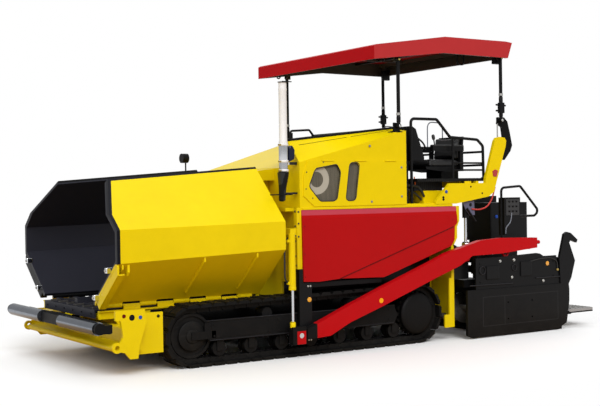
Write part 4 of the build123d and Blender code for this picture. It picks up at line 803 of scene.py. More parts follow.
def make_bolt_tree():
    """Hexagon bolt with its washer at every point."""
    sizes = (("Head Radius", 0.012), ("Head Height", 0.008), ("Washer Radius", 0.016))
    inputs = [(*size, "NodeSocketFloat") for size in sizes]
    tree, given, points = start_repeat_tree("bolts_on_points", inputs)
    hexagon = {"Radius": given["Head Radius"], "Depth": given["Head Height"]}
    bolt_head = node(tree, "GeometryNodeMeshCylinder", hexagon, Vertices=6)
    rim = {"Radius": given["Washer Radius"]}
    washer = node(tree, "GeometryNodeMeshCylinder", rim, Vertices=16, Depth=0.003)
    middle = scaled(tree, given["Head Height"], 0.5, 0.002)
    lift = node(tree, "ShaderNodeCombineXYZ", {"Z": middle}).outputs[0]
    move = {"Geometry": bolt_head.outputs["Mesh"], "Translation": lift}
    raised = node(tree, "GeometryNodeTransform", move)
    join = tree.nodes.new("GeometryNodeJoinGeometry")
    tree.links.new(raised.outputs[0], join.inputs[0])
    tree.links.new(washer.outputs["Mesh"], join.inputs[0])
    return end_repeat_tree(tree, given, points, join.outputs[0])


def make_part_tree():
    """Copies of one part at every point."""
    tree, given, points = start_repeat_tree("parts_on_points", [("Part", None, "NodeSocketObject")])
    part = node(tree, "GeometryNodeObjectInfo", {"Object": given["Part"]})
    return end_repeat_tree(tree, given, points, part.outputs["Geometry"])


BOLTS = make_bolt_tree()
PARTS = make_part_tree()


def evaluated_mesh(piece):
    """Plain mesh of a piece as its modifiers leave it."""
    graph = bpy.context.evaluated_depsgraph_get()
    return bpy.data.meshes.new_from_object(piece.evaluated_get(graph))


def repeat(name, tree, spots, values, body):
    """Runs a repeat tree over (place, rotation) spots and keeps the plain mesh it gives."""
    holder = bpy.data.meshes.new(name + "_spots")
    holder.from_pydata([tuple(place) for place, _ in spots], [], [])
    turns = holder.attributes.new("turn", "FLOAT_VECTOR", "POINT")
    for index, (_, turn) in enumerate(spots):
        turns.data[index].vector = turn
    stand_in = put_in_scene(name + "_spots", holder)
    modifier = stand_in.modifiers.new("repeat", "NODES")
    modifier.node_group = tree
    inputs = [item for item in tree.interface.items_tree if item.in_out == "INPUT"]
    sockets = {item.name: item.identifier for item in inputs}
    for key, value in values.items():
        modifier[sockets[key]] = value
    bpy.context.view_layer.update()
    mesh = evaluated_mesh(stand_in)
    mesh.name = name
    stand_in.modifiers.remove(modifier)
    bpy.data.objects.remove(stand_in)
    piece = put_in_scene(name, mesh)
    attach(piece, body)
    return piece


def facing(direction):
    """Rotation that turns +Z to a direction."""
    return tuple(ALONG_Z.rotation_difference(Vector(direction)).to_euler())


def bolts(name, places, direction, body, radius=0.012, material="zinc"):
    """Bolts at places, with their heads towards a direction."""
    turn = facing(direction)
    values = {"Head Radius": radius, "Head Height": radius * 0.7, "Washer Radius": radius * 1.35}
    values["Finish"] = MAT[material]
    return repeat(name, BOLTS, [(place, turn) for place in places], values, body)


# ------------------------------------------------------------------ finishes of the CAD nodes
NODE_FINISH = {
    "hood_yellow": ("hood_body",),
    "yellow": ("hood_door_left", "hood_door_right", "levelling_cylinders", "hopper_rear_wall"),
    "wing_yellow": ("hopper_wing_left", "hopper_wing_right"),
    "bay_yellow": ("engine_bay",),
    "frame_yellow": ("chassis_frame",),
    "beam_yellow": ("platform_beams",),
    "yellow_low": ("front_bumper",),
    "red": ("side_panel_left", "side_panel_right"),
    "arm_red": ("tow_arms",),
    "canopy_red": ("canopy_roof",),
    "black": (
        "rain_cap", "canopy_front_posts", "canopy_rear_posts", "hood_walkway", "platform_rails",
        "dashboard", "work_lamp", "seat_bases", "lift_barrels", "screed_cabinet", "screed_consoles",
        "tow_guides",
    ),
    "floor_plate": ("platform_deck",),
    "walk_grey": ("rear_walkway_left", "rear_walkway_right"),
    "gate_black": ("end_gate_left", "end_gate_right"),
    "screed_black": ("screed_body", "extension_left", "extension_right", "auger_carriage"),
    "liner": ("wing_liner_left", "wing_liner_right", "conveyor_floor"),
    "black_low": ("push_beam", "track_frames"),
    "tow_black": ("tow_points",),
    "iron": ("track_wheels", "engine", "track_left", "track_right"),
    "roller": ("push_roller_left", "push_roller_right"),
    "stack": ("exhaust_stack",),
    "chrome": ("lift_rods",),
    "wear_steel": ("auger_left", "auger_right"),
    "mesh": ("radiator",),
    "fan": ("cooling_fan",),
    "vinyl": ("seat_cushions",),
}
for finish, names in NODE_FINISH.items():
    for name in names:
        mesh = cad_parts[name].data
        mesh.materials.clear()
        mesh.materials.append(MAT[finish])


# ------------------------------------------------------------------ room, light and camera
def make_floor():
    """Pale floor that goes to white away from the machine, and throws a warm light back up at it."""
    reach, pale, bounce = 60, (0.93, 0.93, 0.93), (0.46, 0.31, 0.17)
    floor = bpy.data.meshes.new("floor")
    corners = [(x * reach, y * reach, 0) for x, y in ((-1, -1), (1, -1), (1, 1), (-1, 1))]
    floor.from_pydata(corners, [], [(0, 1, 2, 3)])
    ground = put_in_scene("floor", floor)
    material, tree, shader = start_material("studio_floor")
    shader.inputs["Roughness"].default_value = 0.8
    shader.inputs["Specular IOR Level"].default_value = 0.1
    glow = node(tree, "ShaderNodeEmission", Strength=1.0)
    centre = node(tree, "ShaderNodeMapping", {"Vector": place_output(tree)})
    centre.inputs["Scale"].default_value = (0.16, 0.24, 1.0)
    distance = node(tree, "ShaderNodeVectorMath", {0: centre.outputs[0]}, operation="LENGTH")
    far = ramp(tree, distance.outputs["Value"], 0.58, 1.0)
    path = tree.nodes.new("ShaderNodeLightPath")
    seen = larger(tree, path.outputs["Is Camera Ray"], path.outputs["Is Glossy Ray"])
    tint = mix_colour(tree, path.outputs["Is Camera Ray"], bounce, pale)
    feed(tree, shader, Base_Color=tint)
    fade = times(tree, far, seen)
    blend = node(tree, "ShaderNodeMixShader", {0: fade, 1: shader.outputs[0], 2: glow.outputs[0]})
    tree.links.new(blend.outputs[0], tree.nodes["Material Output"].inputs["Surface"])
    floor.materials.append(material)


def make_world():
    """Soft even light all round, seen as plain white."""
    world = bpy.data.worlds.new("studio")
    bpy.context.scene.world = world
    world.use_nodes = True
    tree = world.node_tree
    sky = tree.nodes["Background"]
    sky.inputs["Color"].default_value = (1, 1, 1, 1)
    sky.inputs["Strength"].default_value = 0.50
    white = node(tree, "ShaderNodeBackground", Strength=1.0)
    white.inputs["Color"].default_value = (1, 1, 1, 1)
    path = tree.nodes.new("ShaderNodeLightPath")
    seen = larger(tree, path.outputs["Is Camera Ray"], path.outputs["Is Transmission Ray"])
    blend = node(tree, "ShaderNodeMixShader", {0: seen, 1: sky.outputs[0], 2: white.outputs[0]})
    tree.links.new(blend.outputs[0], tree.nodes["World Output"].inputs["Surface"])


def make_lamps():
    """Three soft suns, each with its aim, strength and softness in degrees."""
    for name, aim, strength, softness in (
        ("key", (-0.22, -0.90, -0.78), 2.15, 35),
        ("front", (-0.95, -0.25, -0.75), 0.85, 50),
        ("back", (0.6, 0.7, -0.9), 0.55, 60),
    ):
        lamp = bpy.data.lights.new(name, "SUN")
        lamp.energy = strength
        lamp.angle = math.radians(softness)
        sun = put_in_scene(name, lamp)
        sun.rotation_mode = "QUATERNION"
        sun.rotation_quaternion = Vector((0, 0, -1)).rotation_difference(Vector(aim))


def make_camera():
    """Camera ahead of the machine's left side, at a person's eye height."""
    place = (7.603, 11.178, 1.782)
    yaw, pitch, roll = (math.radians(a) for a in (236.65, -0.63, -0.85))
    ahead = Vector((math.cos(yaw) * math.cos(pitch), math.sin(yaw) * math.cos(pitch), math.sin(pitch)))
    level = Vector((math.sin(yaw), -math.cos(yaw), 0))
    skyward = level.cross(ahead)
    right = level * math.cos(roll) + skyward * math.sin(roll)
    up = skyward * math.cos(roll) - level * math.sin(roll)
    turn = Matrix((right, up, -ahead)).transposed().to_4x4()
    data = bpy.data.cameras.new("camera")
    data.lens = 67.2
    data.sensor_width = 36.0
    data.clip_end = 200
    camera = put_in_scene("camera", data)
    camera.matrix_world = Matrix.Translation(place) @ turn
    bpy.context.scene.camera = camera


make_floor()
make_world()
make_lamps()
make_camera()
bpy.context.scene.view_settings.view_transform = "Standard"


# ------------------------------------------------------------------ hopper wings
SLOPE_FOOT = Vector((0.0, 0.700, 0.651))
SLOPE_RUN = Vector((0.0, 0.785, 0.620))
SLOPE_OUT = Vector((0.0, 0.620, -0.785))


def panel_point(along, out):
    """Point on the left wing's lower slope: distance up the slope and away from its outer face."""
    return SLOPE_FOOT + SLOPE_RUN * along + SLOPE_OUT * out


def make_wing_trim():
    """Flange along the lower slope's front edge, with its lip, lugs for the rubber apron and a lift tab."""
    start, end, deep = 0.075, 0.660, 0.085
    slope_top, corner = 0.715, Vector((0, 1.271, 1.080))
    flange = [panel_point(start, 0), panel_point(slope_top, 0), corner]
    flange += [panel_point(end, deep), panel_point(start, deep)]
    lip_top = deep - 0.015
    lip = [panel_point(start, lip_top), panel_point(end, lip_top)] + flange[-2:]
    lug_places = ((1.080, 1.030), (0.772, 0.745))
    tab_outline = ((1.180, 1.075), (1.262, 1.092), (1.262, 1.020), (1.235, 0.985), (1.205, 1.000))
    for side, sign in SIDES:
        body = "wing_" + side
        finish = "flange_yellow" if side == "left" else "black"
        plate = ([(sign * p.y, p.z) for p in flange], 0, WING_FRONT - 0.020, WING_FRONT)
        prism_piece("wing_front_flange_" + side, [plate], finish, body, 0.003)
        strip = ([(sign * p.y, p.z) for p in lip], 0, WING_FRONT - 0.075, WING_FRONT - 0.02)
        prism_piece("wing_front_lip_" + side, [strip], finish, body, 0.002)
        lugs = []
        for y, z in lug_places:
            near, far = span(sign, y, y + 0.050)
            lugs.append(((WING_FRONT - 0.012, near, z - 0.022), (WING_FRONT + 0.050, far, z + 0.034)))
        box_piece("wing_apron_lugs_" + side, lugs, "mirror", body, 0.006)
        centres = [(WING_FRONT + 0.052, sign * (y + 0.025), z + 0.005) for y, z in lug_places]
        bolts("wing_apron_bolts_" + side, centres, (1, 0, 0), body, 0.011)
        tab = ([(sign * y, z) for y, z in tab_outline], 0, WING_FRONT - 0.135, WING_FRONT - 0.11)
        prism_piece("wing_lift_tab_" + side, [tab], "yellow", body, 0.003)


make_wing_trim()


# ------------------------------------------------------------------ hopper floor and rear wall
def make_hopper_floor():
    """Chain links on the conveyor floor, lips of the two feed gates and the apron's bolts."""
    first, last, pitch, floor = 1.24, 3.10, 0.095, 0.6185
    links = bmesh.new()
    for sign in (1, -1):
        for y in (0.105, 0.330, 0.560):
            x = first
            while x < last:
                add_box(links, (x, sign * y - 0.010, floor), (x + 0.060, sign * y + 0.010, 0.636))
                for near in (-0.022, 0.012):
                    low = sign * y + near
                    add_box(links, (x + 0.045, low, floor), (x + 0.110, low + 0.010, 0.634))
                x += pitch
    finish_mesh("conveyor_chains", links, "wear_steel", "tractor")
    lips = []
    for sign in (1, -1):
        low, high = span(sign, 0.05, 0.60)
        lips.append(((1.246, low, 0.930), (1.262, high, 0.990)))
    box_piece("feed_gate_lips", lips, "black", "tractor", 0.002)
    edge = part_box("conveyor_floor")[1][0] - 0.003
    places = [(edge, y, 0.575) for y in (-0.60, -0.36, -0.12, 0.12, 0.36, 0.60)]
    bolts("apron_floor_bolts", places, (1, 0, 0), "tractor", 0.010, "black")


make_hopper_floor()


# ------------------------------------------------------------------ tracks
# X, Z and the radius at which the inner faces of the shoes run
IDLER = (2.289, 0.320, 0.286)
SPROCKET = (-0.631, 0.345, 0.311)
SHOES = 52
TRACK_Y = 0.980
FRAME_FACE = 1.104


def on_wheel(wheel, angle):
    """Point and heading where a shoe's inner face runs round a wheel."""
    x, z, radius = wheel
    return x + radius * math.cos(angle), z + radius * math.sin(angle), angle


def on_run(start, end, share):
    """Point and heading on a straight run between two points on the wheels, which share one heading."""
    return start[0] + (end[0] - start[0]) * share, start[1] + (end[1] - start[1]) * share, start[2]


def belt_point(distance):
    """Point and heading on the shoes' inner face, clockwise seen from the left, and the belt's length."""
    (x1, z1, r1), (x2, z2, r2) = IDLER, SPROCKET
    run = x1 - x2
    slope = math.asin((r2 - r1) / math.hypot(run, z2 - z1))
    straight = math.sqrt(run ** 2 + (z2 - z1) ** 2 - (r2 - r1) ** 2)
    tilt = math.atan2(z1 - z2, run)
    high = math.pi / 2 - slope + tilt
    low = -math.pi / 2 + slope + tilt
    front = r1 * (high - low)
    rear = r2 * (ONE_TURN - (high - low))
    total = 2 * straight + front + rear
    d = distance % total
    if d < front:
        return on_wheel(IDLER, high - d / r1), total
    d -= front
    if d < straight:
        return on_run(on_wheel(IDLER, low), on_wheel(SPROCKET, low), d / straight), total
    d -= straight
    if d < rear:
        return on_wheel(SPROCKET, low - d / r2), total
    d -= rear
    return on_run(on_wheel(SPROCKET, high), on_wheel(IDLER, high), d / straight), total


def make_shoe_parts():
    """One track shoe and one chain link. Z points away from the track, Y runs along the belt, X across."""
    pitch = belt_point(0)[1] / SHOES
    half = pitch / 2 - 0.003
    wide, plate, edge, rib_top = 0.150, 0.014, 0.010, 0.034
    shoe = bmesh.new()
    base = [(-half, 0.0), (half, 0.0), (half, edge), (half - 0.006, plate)]
    base += [(-half + 0.006, plate), (-half, edge)]
    add_prism(shoe, base, 0, -wide, wide)
    rib = [(-half + 0.010, 0.013), (half - 0.010, 0.013), (half - 0.020, rib_top), (-half + 0.020, rib_top)]
    for low, high in ((-0.147, -0.008), (0.008, 0.147)):
        add_prism(shoe, rib, 0, low, high)
    link = bmesh.new()
    tail = [(-half - 0.010, -0.004), (-half - 0.010, -0.040), (-half + 0.010, -0.054), (-0.020, -0.050)]
    nose = [(0.020, -0.050), (half - 0.010, -0.054), (half, -0.030), (half - 0.004, -0.0)]
    for x in (-0.062, 0.062):
        add_prism(link, tail + nose, 0, x - 0.014, x + 0.014)
    add_turned(link, (-0.082, -half + 0.004, -0.030), (1, 0, 0), [(0, 0.016), (0.164, 0.016)], 10)
    forms = (("shoe_part", shoe), ("link_part", link))
    return [put_in_scene(name, plain_mesh(name, bm)) for name, bm in forms], pitch


def shoe_spots(sign, pitch):
    """Place and turn of every shoe on one track."""
    spots = []
    for i in range(SHOES):
        (x, z, a), _ = belt_point(i * pitch)
        out = Vector((math.cos(a), 0, math.sin(a)))
        along = Vector((-math.sin(a), 0, math.cos(a)))
        turn = Matrix((along.cross(out), along, out)).transposed().to_euler()
        spots.append((Vector((x, sign * TRACK_Y, z)), tuple(turn)))
    return spots


def make_tracks():
    """Shoes and chain of both tracks. The shoes stand in for the tracks' CAD nodes and end at the ground."""
    (shoe, link), pitch = make_shoe_parts()
    pad = {"Part": shoe, "Finish": MAT["track_pad"]}
    iron = {"Part": link, "Finish": MAT["iron"]}
    for side, sign in SIDES:
        spots = shoe_spots(sign, pitch)
        belt = repeat("track_shoes_" + side, PARTS, spots, pad, "tractor")
        repeat("track_chain_" + side, PARTS, spots, iron, "tractor")
        for vertex in belt.data.vertices:
            vertex.co.z = max(vertex.co.z, 0.0)
        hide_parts("track_" + side)
    for part in (shoe, link):
        bpy.data.objects.remove(part)


def make_track_frames():
    """Edges and guard plates of the track frames, and the covers of the drive and the idler."""
    drive = [(0, 0.236), (0.020, 0.236), (0.032, 0.226), (0.040, 0.190), (0.044, 0.120), (0.044, 0.02)]
    idler = [(0, 0.150), (0.012, 0.150), (0.020, 0.130), (0.022, 0.075), (0.034, 0.070), (0.040, 0.050)]
    plates = ((-0.24, 0.52), (0.58, 1.30), (1.36, 2.08))
    for side, sign in SIDES:
        y = sign * FRAME_FACE
        edges = [[(-0.28, y, z), (x, y, z)] for z, x in ((0.464, 2.14), (0.262, 2.10))]
        tube_piece("track_guard_edges_" + side, edges, 0.006, "worn_edge", "tractor", 10)
        low, high = span(sign, 1.1042, 1.108)
        boxes = [((x0, low, 0.285), (x1, high, 0.440)) for x0, x1 in plates]
        box_piece("track_guard_plates_" + side, boxes, "black_low", "tractor", 0.003)
        ends = [x for x0, x1 in plates for x in (x0 + 0.03, x1 - 0.03)]
        places = [(x, sign * 1.108, z) for x in ends for z in (0.305, 0.42)]
        bolts("track_guard_bolts_" + side, places, (0, sign, 0), "tractor", 0.009, "iron")
        hub = (SPROCKET[0], sign * 1.080, SPROCKET[1])
        turned_piece("drive_cover_" + side, [(hub, (0, sign, 0), drive)], "drive_black", "tractor", 48)
        hub = (IDLER[0], sign * 1.056, IDLER[1])
        turned_piece("idler_cap_" + side, [(hub, (0, sign, 0), idler)], "iron", "tractor", 40)


make_tracks()
make_track_frames()


# ------------------------------------------------------------------ hood, exhaust and side panels
def hood_edge(x):
    """Height of the left shoulder and of the walkway edge at a distance forward."""
    share = (x + 0.460) / 1.465
    return 2.450 + (2.087 - 2.450) * share, 2.482 + (2.322 - 2.482) * share


def make_door_windows():
    """Rubber seals round the near door's two windows, and the fixings of both doors."""
    window = [
        (0.790, 2.022), (0.520, 2.066), (0.470, 1.980), (0.520, 1.690), (0.560, 1.664),
        (0.745, 1.664), (0.880, 1.815), (0.880, 1.850), (0.820, 1.985),
    ]
    slot = [(0.345, 2.086), (0.210, 2.086), (0.270, 1.664), (0.405, 1.664)]
    seals = bmesh.new()
    for outline, bend in ((window, 0.024), (slot, 0.050)):
        loop = [Vector((x, DOOR_FACE + 0.0005, z)) for x, z in outline]
        middle = loop[-1].lerp(loop[0], 0.5)
        add_tube(seals, round_path([middle] + loop + [middle], bend, 4)[:-1], 0.005, 8, closed=True)
    finish_mesh("hood_window_seals", seals, "rubber", "door_left", smooth=True)
    latch = head(0.013, 0.003, 0.008, 0.005)
    low_latches = ((0.050, 1.648), (-0.38, 1.70))
    places = ((0.066, 2.270), *low_latches, (-0.38, 2.03))
    near = [((x, DOOR_FACE, z), (0, 1, 0), latch + [(0.005, 0.002)]) for x, z in places]
    turned_piece("hood_door_latches", near, "grey_plastic", "door_left")
    screw = [(0, 0.007), (0.004, 0.007)]
    places = ((0.845, 1.70), (0.93, 1.80), (0.92, 1.98), (0.70, 2.088))
    screws = [((x, DOOR_FACE, z), (0, 1, 0), screw) for x, z in places]
    turned_piece("hood_door_screws", screws, "plastic", "door_left", 12)
    far = [((x, -DOOR_FACE, z), (0, -1, 0), latch) for x, z in ((0.066, 1.800), *low_latches)]
    turned_piece("hood_door_latches_right", far, "grey_plastic", "door_right")


def make_hood_trim():
    """Dark yellow lines beside the walkway that paint the shadow in the hood's creases, rear edge strips,
    nose sill and the front column's bolts.
    """
    sill = ((1.0055, -1.040, 1.560), (1.118, 1.040, 1.5985))
    box_piece("hood_nose_sill", [sill], "yellow", "tractor", 0.002)
    # Painted shadow: thin bars of darkened yellow along the hood's creases
    creases = []
    for ends in ((0.90, 0.26), (0.20, -0.34)):
        shade_line = []
        for x in ends:
            low, high = hood_edge(x)
            shade_line.append((x, 0.985, low + (high - low) * 0.75 + 0.001))
        creases.append(shade_line)
    tube_piece("hood_seams", creases, 0.0035, "shade_line", "tractor", 6)
    rear, face = -0.474, -0.4605
    strips = [
        ((rear, 1.100, 1.615), (face, 1.148, hood_edge(-0.44)[0] + 0.004)),
        ((rear, -1.148, 1.615), (face, -1.100, 2.370)),
        ((rear, 0.60, 2.440), (face, 1.02, 2.478)),
    ]
    box_piece("hood_rear_edge", strips, "black", "tractor", 0.004)
    bolt = head(0.012, 0.008, 0.008, 0.010)
    front = [((1.046, 1.120, z), (1, 0, 0), bolt) for z in (1.56, 1.40, 1.24, 1.08, 0.98)]
    turned_piece("column_bolts", front, "plastic", "tractor", 12)
    bolt = head(0.010, 0.007, 0.006, 0.009)
    beside = [((1.028, 1.150, z), (0, 1, 0), bolt) for z in (1.555, 1.430, 1.290)]
    turned_piece("column_side_bolts", beside, "plastic", "tractor", 12)


def make_exhaust():
    """Upright stack: shield, sleeve, clamps with their lugs, leaning boot, stay, side guard and mouth."""
    x, y, top = 1.168, 1.092, 2.940
    shield = [(0, 0.047), (0.012, 0.049), (0.030, 0.043), (0.560, 0.043)]
    shield += [(0.575, 0.046), (0.590, 0.043), (0.640, 0.043)]
    turned_piece("exhaust_shield", [((x, y, 2.290), UPRIGHT, shield)], "stack", "tractor", 40)
    clamp_heights = (1.988, 2.086, 2.262)
    clamps = [((x, y, z), UPRIGHT, band(0.050, 0.054, 0.004, 0.024)) for z in clamp_heights]
    turned_piece("exhaust_clamps", clamps, "stack", "tractor", 36)
    lugs = [((x + 0.046, y + 0.010, z + 0.002), (x + 0.076, y + 0.032, z + 0.020)) for z in clamp_heights]
    box_piece("exhaust_clamp_lugs", lugs, "brass", "tractor", 0.002)
    sleeve = [(0, 0.0485), (0.070, 0.0495), (0.072, 0.046), (0.100, 0.0495), (0.250, 0.0495)]
    turned_piece("exhaust_sleeve", [((x, y, 2.012), UPRIGHT, sleeve)], "chrome", "tractor", 40)
    boot = [
        (0.0, 0.018), (0.006, 0.027), (0.040, 0.031), (0.100, 0.036), (0.180, 0.045),
        (0.240, 0.053), (0.300, 0.0565), (0.316, 0.058), (0.318, 0.050),
    ]
    leaning = ((x + 0.034, y, 1.670), (-0.034, 0, 0.316), boot)
    turned_piece("exhaust_boot", [leaning], "drive_black", "tractor", 36)
    stay = [(x - 0.090, y + 0.030, 1.742), (x + 0.190, y + 0.030, 1.742)]
    tube_piece("exhaust_stay", [stay], 0.007, "black", "tractor", 10)
    guard = [
        (x - 0.050, 2.090), (x - 0.050, 2.245), (x - 0.070, 2.268),
        (x - 0.100, 2.262), (x - 0.124, 2.215), (x - 0.118, 2.120),
    ]
    prism_piece("exhaust_side_guard", [(guard, 1, y - 0.036, y + 0.040)], "navy", "tractor", 0.012)
    mouth = [(0, 0.040), (0.001, 0.036), (0.0015, 0.034)]
    turned_piece("stack_mouth", [((x, y, top - 0.001), UPRIGHT, mouth)], "iron", "tractor", 32)


def make_side_panel_trim():
    """Painted shade along the fold of the red side panels, their bolts, and the strips above and below them.
    """
    for side, sign in SIDES:
        y = sign * (PANEL_FACE + 0.0005)
        # Painted shade: a bar of darkened red along the panel's fold
        fold = at_side(y, (0.509, 0.812), (-1.135, 1.332))
        tube_piece("side_panel_fold_" + side, [fold], 0.006, "red_dark", "tractor", 8)
        places = at_side(sign * PANEL_FACE, (0.965, 0.86), (0.965, 1.10), (0.965, 1.40), (-1.12, 1.42))
        bolts("side_panel_bolts_" + side, places, (0, sign, 0), "tractor", 0.007, "red_bolt")
        low, high = span(sign, 1.100, 1.1655)
        strip = ((-1.136, low, 1.5745), (0.985, high, 1.5985))
        box_piece("deck_strip_" + side, [strip], "yellow", "tractor")
        low, high = span(sign, 1.1115, 1.149)
        rail = ((-0.08, low, 0.735), (0.985, high, 0.788))
        box_piece("under_panel_rail_" + side, [rail], "black_low", "tractor")


make_door_windows()
make_hood_trim()
make_exhaust()
make_side_panel_trim()


# ------------------------------------------------------------------ canopy and posts
# name, X, height of the upper pin and rise of the collar above the lower one
POST_LINES = (("front", -0.344, 3.260, 0.120), ("rear", -1.925, 3.360, 0.295))


def make_canopy_trim():
    """Ribs and brackets under the roof, a hand grip, hooks, and the props on the platform beams."""
    places = ((-0.70, 3.470), (-1.10, 3.510), (-1.50, 3.510))
    ribs = [((x - 0.012, -1.208, z - 0.030), (x + 0.012, 1.208, z)) for x, z in places]
    box_piece("canopy_ribs", ribs, "canopy_black", "canopy", 0.002)
    grip = at_side(0.900, (-1.470, 3.500), (-1.470, 3.282), (-1.570, 3.282), (-1.570, 3.500))
    tube_piece("canopy_hand_grips", [grip], 0.010, "black", "canopy", 10, 0.03)
    for side, sign in SIDES:
        low, high = span(sign, 1.070, 1.128)
        bracket = ((-1.978, low, 3.286), (-1.866, high, 3.420))
        box_piece("canopy_corner_bracket_" + side, [bracket], "black", "canopy", 0.008)
        prop = at_side(sign * 1.150, (-1.876, 2.390), (-1.876, 2.560))
        tube_piece("beam_prop_" + side, [prop], 0.008, "zinc", "tractor", 10)
        hook = at_side(sign * 1.10, (-0.20, 3.300), (-0.20, 3.255), (-0.175, 3.235), (-0.150, 3.250))
        tube_piece("canopy_hook_" + side, [hook], 0.009, "black", "canopy", 10, 0.03)


def make_post_fittings():
    """Pins at both ends of every post, with its collar and sleeve."""
    pin, collar = head(0.016, 0.008, 0.010, 0.012), band(0.022, 0.026, 0.002, 0.032)
    for side, sign in SIDES:
        for name, x, top, lift in POST_LINES:
            body, end, foot = name + "_posts", name + "_" + side, top - 0.760
            for piece, z, finish in (("canopy_pin_", top, "brass"), ("canopy_foot_pin_", foot, "zinc")):
                turned_piece(piece + end, [((x, sign * 1.187, z), (0, sign, 0), pin)], finish, body, 16)
            y = sign * POST_Y
            turned_piece("canopy_collar_" + end, [((x, y, foot + lift), UPRIGHT, collar)], "zinc", body)
            sleeve = [(0, 0.0225), (0.003, 0.0245), (lift - 0.060, 0.0245), (lift - 0.056, 0.0225)]
            turned_piece("canopy_sleeve_" + end, [((x, y, foot + 0.045), UPRIGHT, sleeve)], "black", body)


def make_post_clamps():
    """Clamps at the feet of the rear posts, and their knobs."""
    _, x, top, _ = POST_LINES[1]
    foot = top - 0.760
    for side, sign in SIDES:
        low, high = span(sign, 1.1415, 1.192)
        clamp = ((x - 0.040, low, foot + 0.085), (x + 0.036, high, foot + 0.215))
        box_piece("canopy_clamp_" + side, [clamp], "black", "rear_posts", 0.008)
        knobs = []
        for near, far, rise in ((0.020, 0.078, 0.186), (0.020, 0.078, 0.115), (-0.030, -0.074, 0.180)):
            knobs.append(at_side(sign * POST_Y, (x + near, foot + rise), (x + far, foot + rise)))
        tube_piece("canopy_knob_" + side, knobs, 0.011, "black", "rear_posts")


make_canopy_trim()
make_post_fittings()
make_post_clamps()


# ------------------------------------------------------------------ bumper and grille
def make_bumper_trim():
    """Plugs in the ends of the push beam's tubes and the bolts of the cheek plates."""
    plugs = (
        ("front", 3.106, 0.595, 0.0195, "red_dark"),
        ("middle", 3.022, 0.576, 0.0295, "black"),
        ("rear", 2.932, 0.573, 0.0195, "blue"),
    )
    for name, x, z, radius, finish in plugs:
        plug = ((x, 1.203, z), (0, 1, 0), head(radius, 0.024, radius - 0.002, 0.026))
        turned_piece("bumper_plug_" + name, [plug], finish, "tractor", 28)
    for side, sign in SIDES:
        place = (2.690, sign * 1.125, 0.560)
        bolts("cheek_plate_bolts_" + side, [place], (0, sign, 0), "tractor", 0.012, "black")


def make_fan_ring():
    """Flat ring behind the near door's window."""
    inner, outer = 0.085, 0.163
    bm = bmesh.new()
    rings = []
    for y in (1.1372, 1.1388):
        for radius in (inner, outer):
            rings.append(circle_verts(bm, Vector((0.775, y, 1.900)), ALONG_X, ALONG_Z, radius, 36))
    join_rings(bm, [(rings[a], rings[b]) for a, b in ((0, 1), (1, 3), (3, 2), (2, 0))])
    finish_mesh("fan_ring", bm, "fan", "tractor")


make_bumper_trim()
make_fan_ring()


# ------------------------------------------------------------------ seats
SEATS = (("left", SEAT_Y), ("right", -SEAT_Y))
SWELL = 0.016
SWELL_FRAMES = 20


def swell(form):
    """Blow a form up by a short cloth run, in which no point moves further than the swell."""
    start = [vert.co.copy() for vert in form.data.vertices]
    cloth = form.modifiers.new("pad", "CLOTH")
    cloth.settings.quality = 4
    cloth.settings.mass = 0.3
    cloth.settings.tension_stiffness = 15
    cloth.settings.compression_stiffness = 15
    cloth.settings.use_pressure = True
    cloth.settings.uniform_pressure_force = 4.0
    cloth.settings.effector_weights.gravity = 0.0
    cloth.point_cache.frame_start = 1
    cloth.point_cache.frame_end = SWELL_FRAMES
    for step in range(1, SWELL_FRAMES + 1):
        bpy.context.scene.frame_set(step)
    result = evaluated_mesh(form)
    form.modifiers.clear()
    for vert, before in zip(result.vertices, start):
        move = vert.co - before
        if move.length > SWELL:
            vert.co = before + move.normalized() * SWELL
    form.data = result
    bpy.context.scene.frame_set(1)


def pad_mesh(outline, low, high):
    """Plain mesh of a pad: a rounded prism, remeshed and then swelled."""
    bm = bmesh.new()
    add_prism(bm, outline, 1, low, high)
    bmesh.ops.recalc_face_normals(bm, faces=bm.faces)
    bmesh.ops.bevel(bm, geom=bm.edges[:], offset=0.020, segments=4, profile=0.5, affect="EDGES")
    mesh = bpy.data.meshes.new("pad_form")
    bm.to_mesh(mesh)
    bm.free()
    form = put_in_scene("pad_form", mesh)
    even = form.modifiers.new("even", "REMESH")
    even.mode = "VOXEL"
    even.voxel_size = 0.006
    form.data = evaluated_mesh(form)
    form.modifiers.clear()
    swell(form)
    mesh = form.data
    bpy.data.objects.remove(form)
    return mesh


def place_pad(name, mesh, y):
    """Pad of one seat, moved to its place and smoothed a little."""
    bm = bmesh.new()
    bm.from_mesh(mesh)
    bmesh.ops.translate(bm, verts=bm.verts, vec=(0, y, 0))
    every_axis = dict(use_axis_x=True, use_axis_y=True, use_axis_z=True)
    for _ in range(2):
        bmesh.ops.smooth_vert(bm, verts=bm.verts, factor=0.5, **every_axis)
    pad = finish_mesh(name, bm, "vinyl", "tractor", smooth=True)
    return pad


def seam_over(bm, pad, origin, along, aim, count=24):
    """Sewn line that follows a pad's face, found by looking at it along aim."""
    path = []
    for i in range(count + 1):
        hit, place, _, _ = pad.ray_cast(Vector(origin) + Vector(along) * (i / count), Vector(aim))
        if hit:
            path.append(place)
    if len(path) > 3:
        add_tube(bm, path, 0.0028, 6, 0.0)


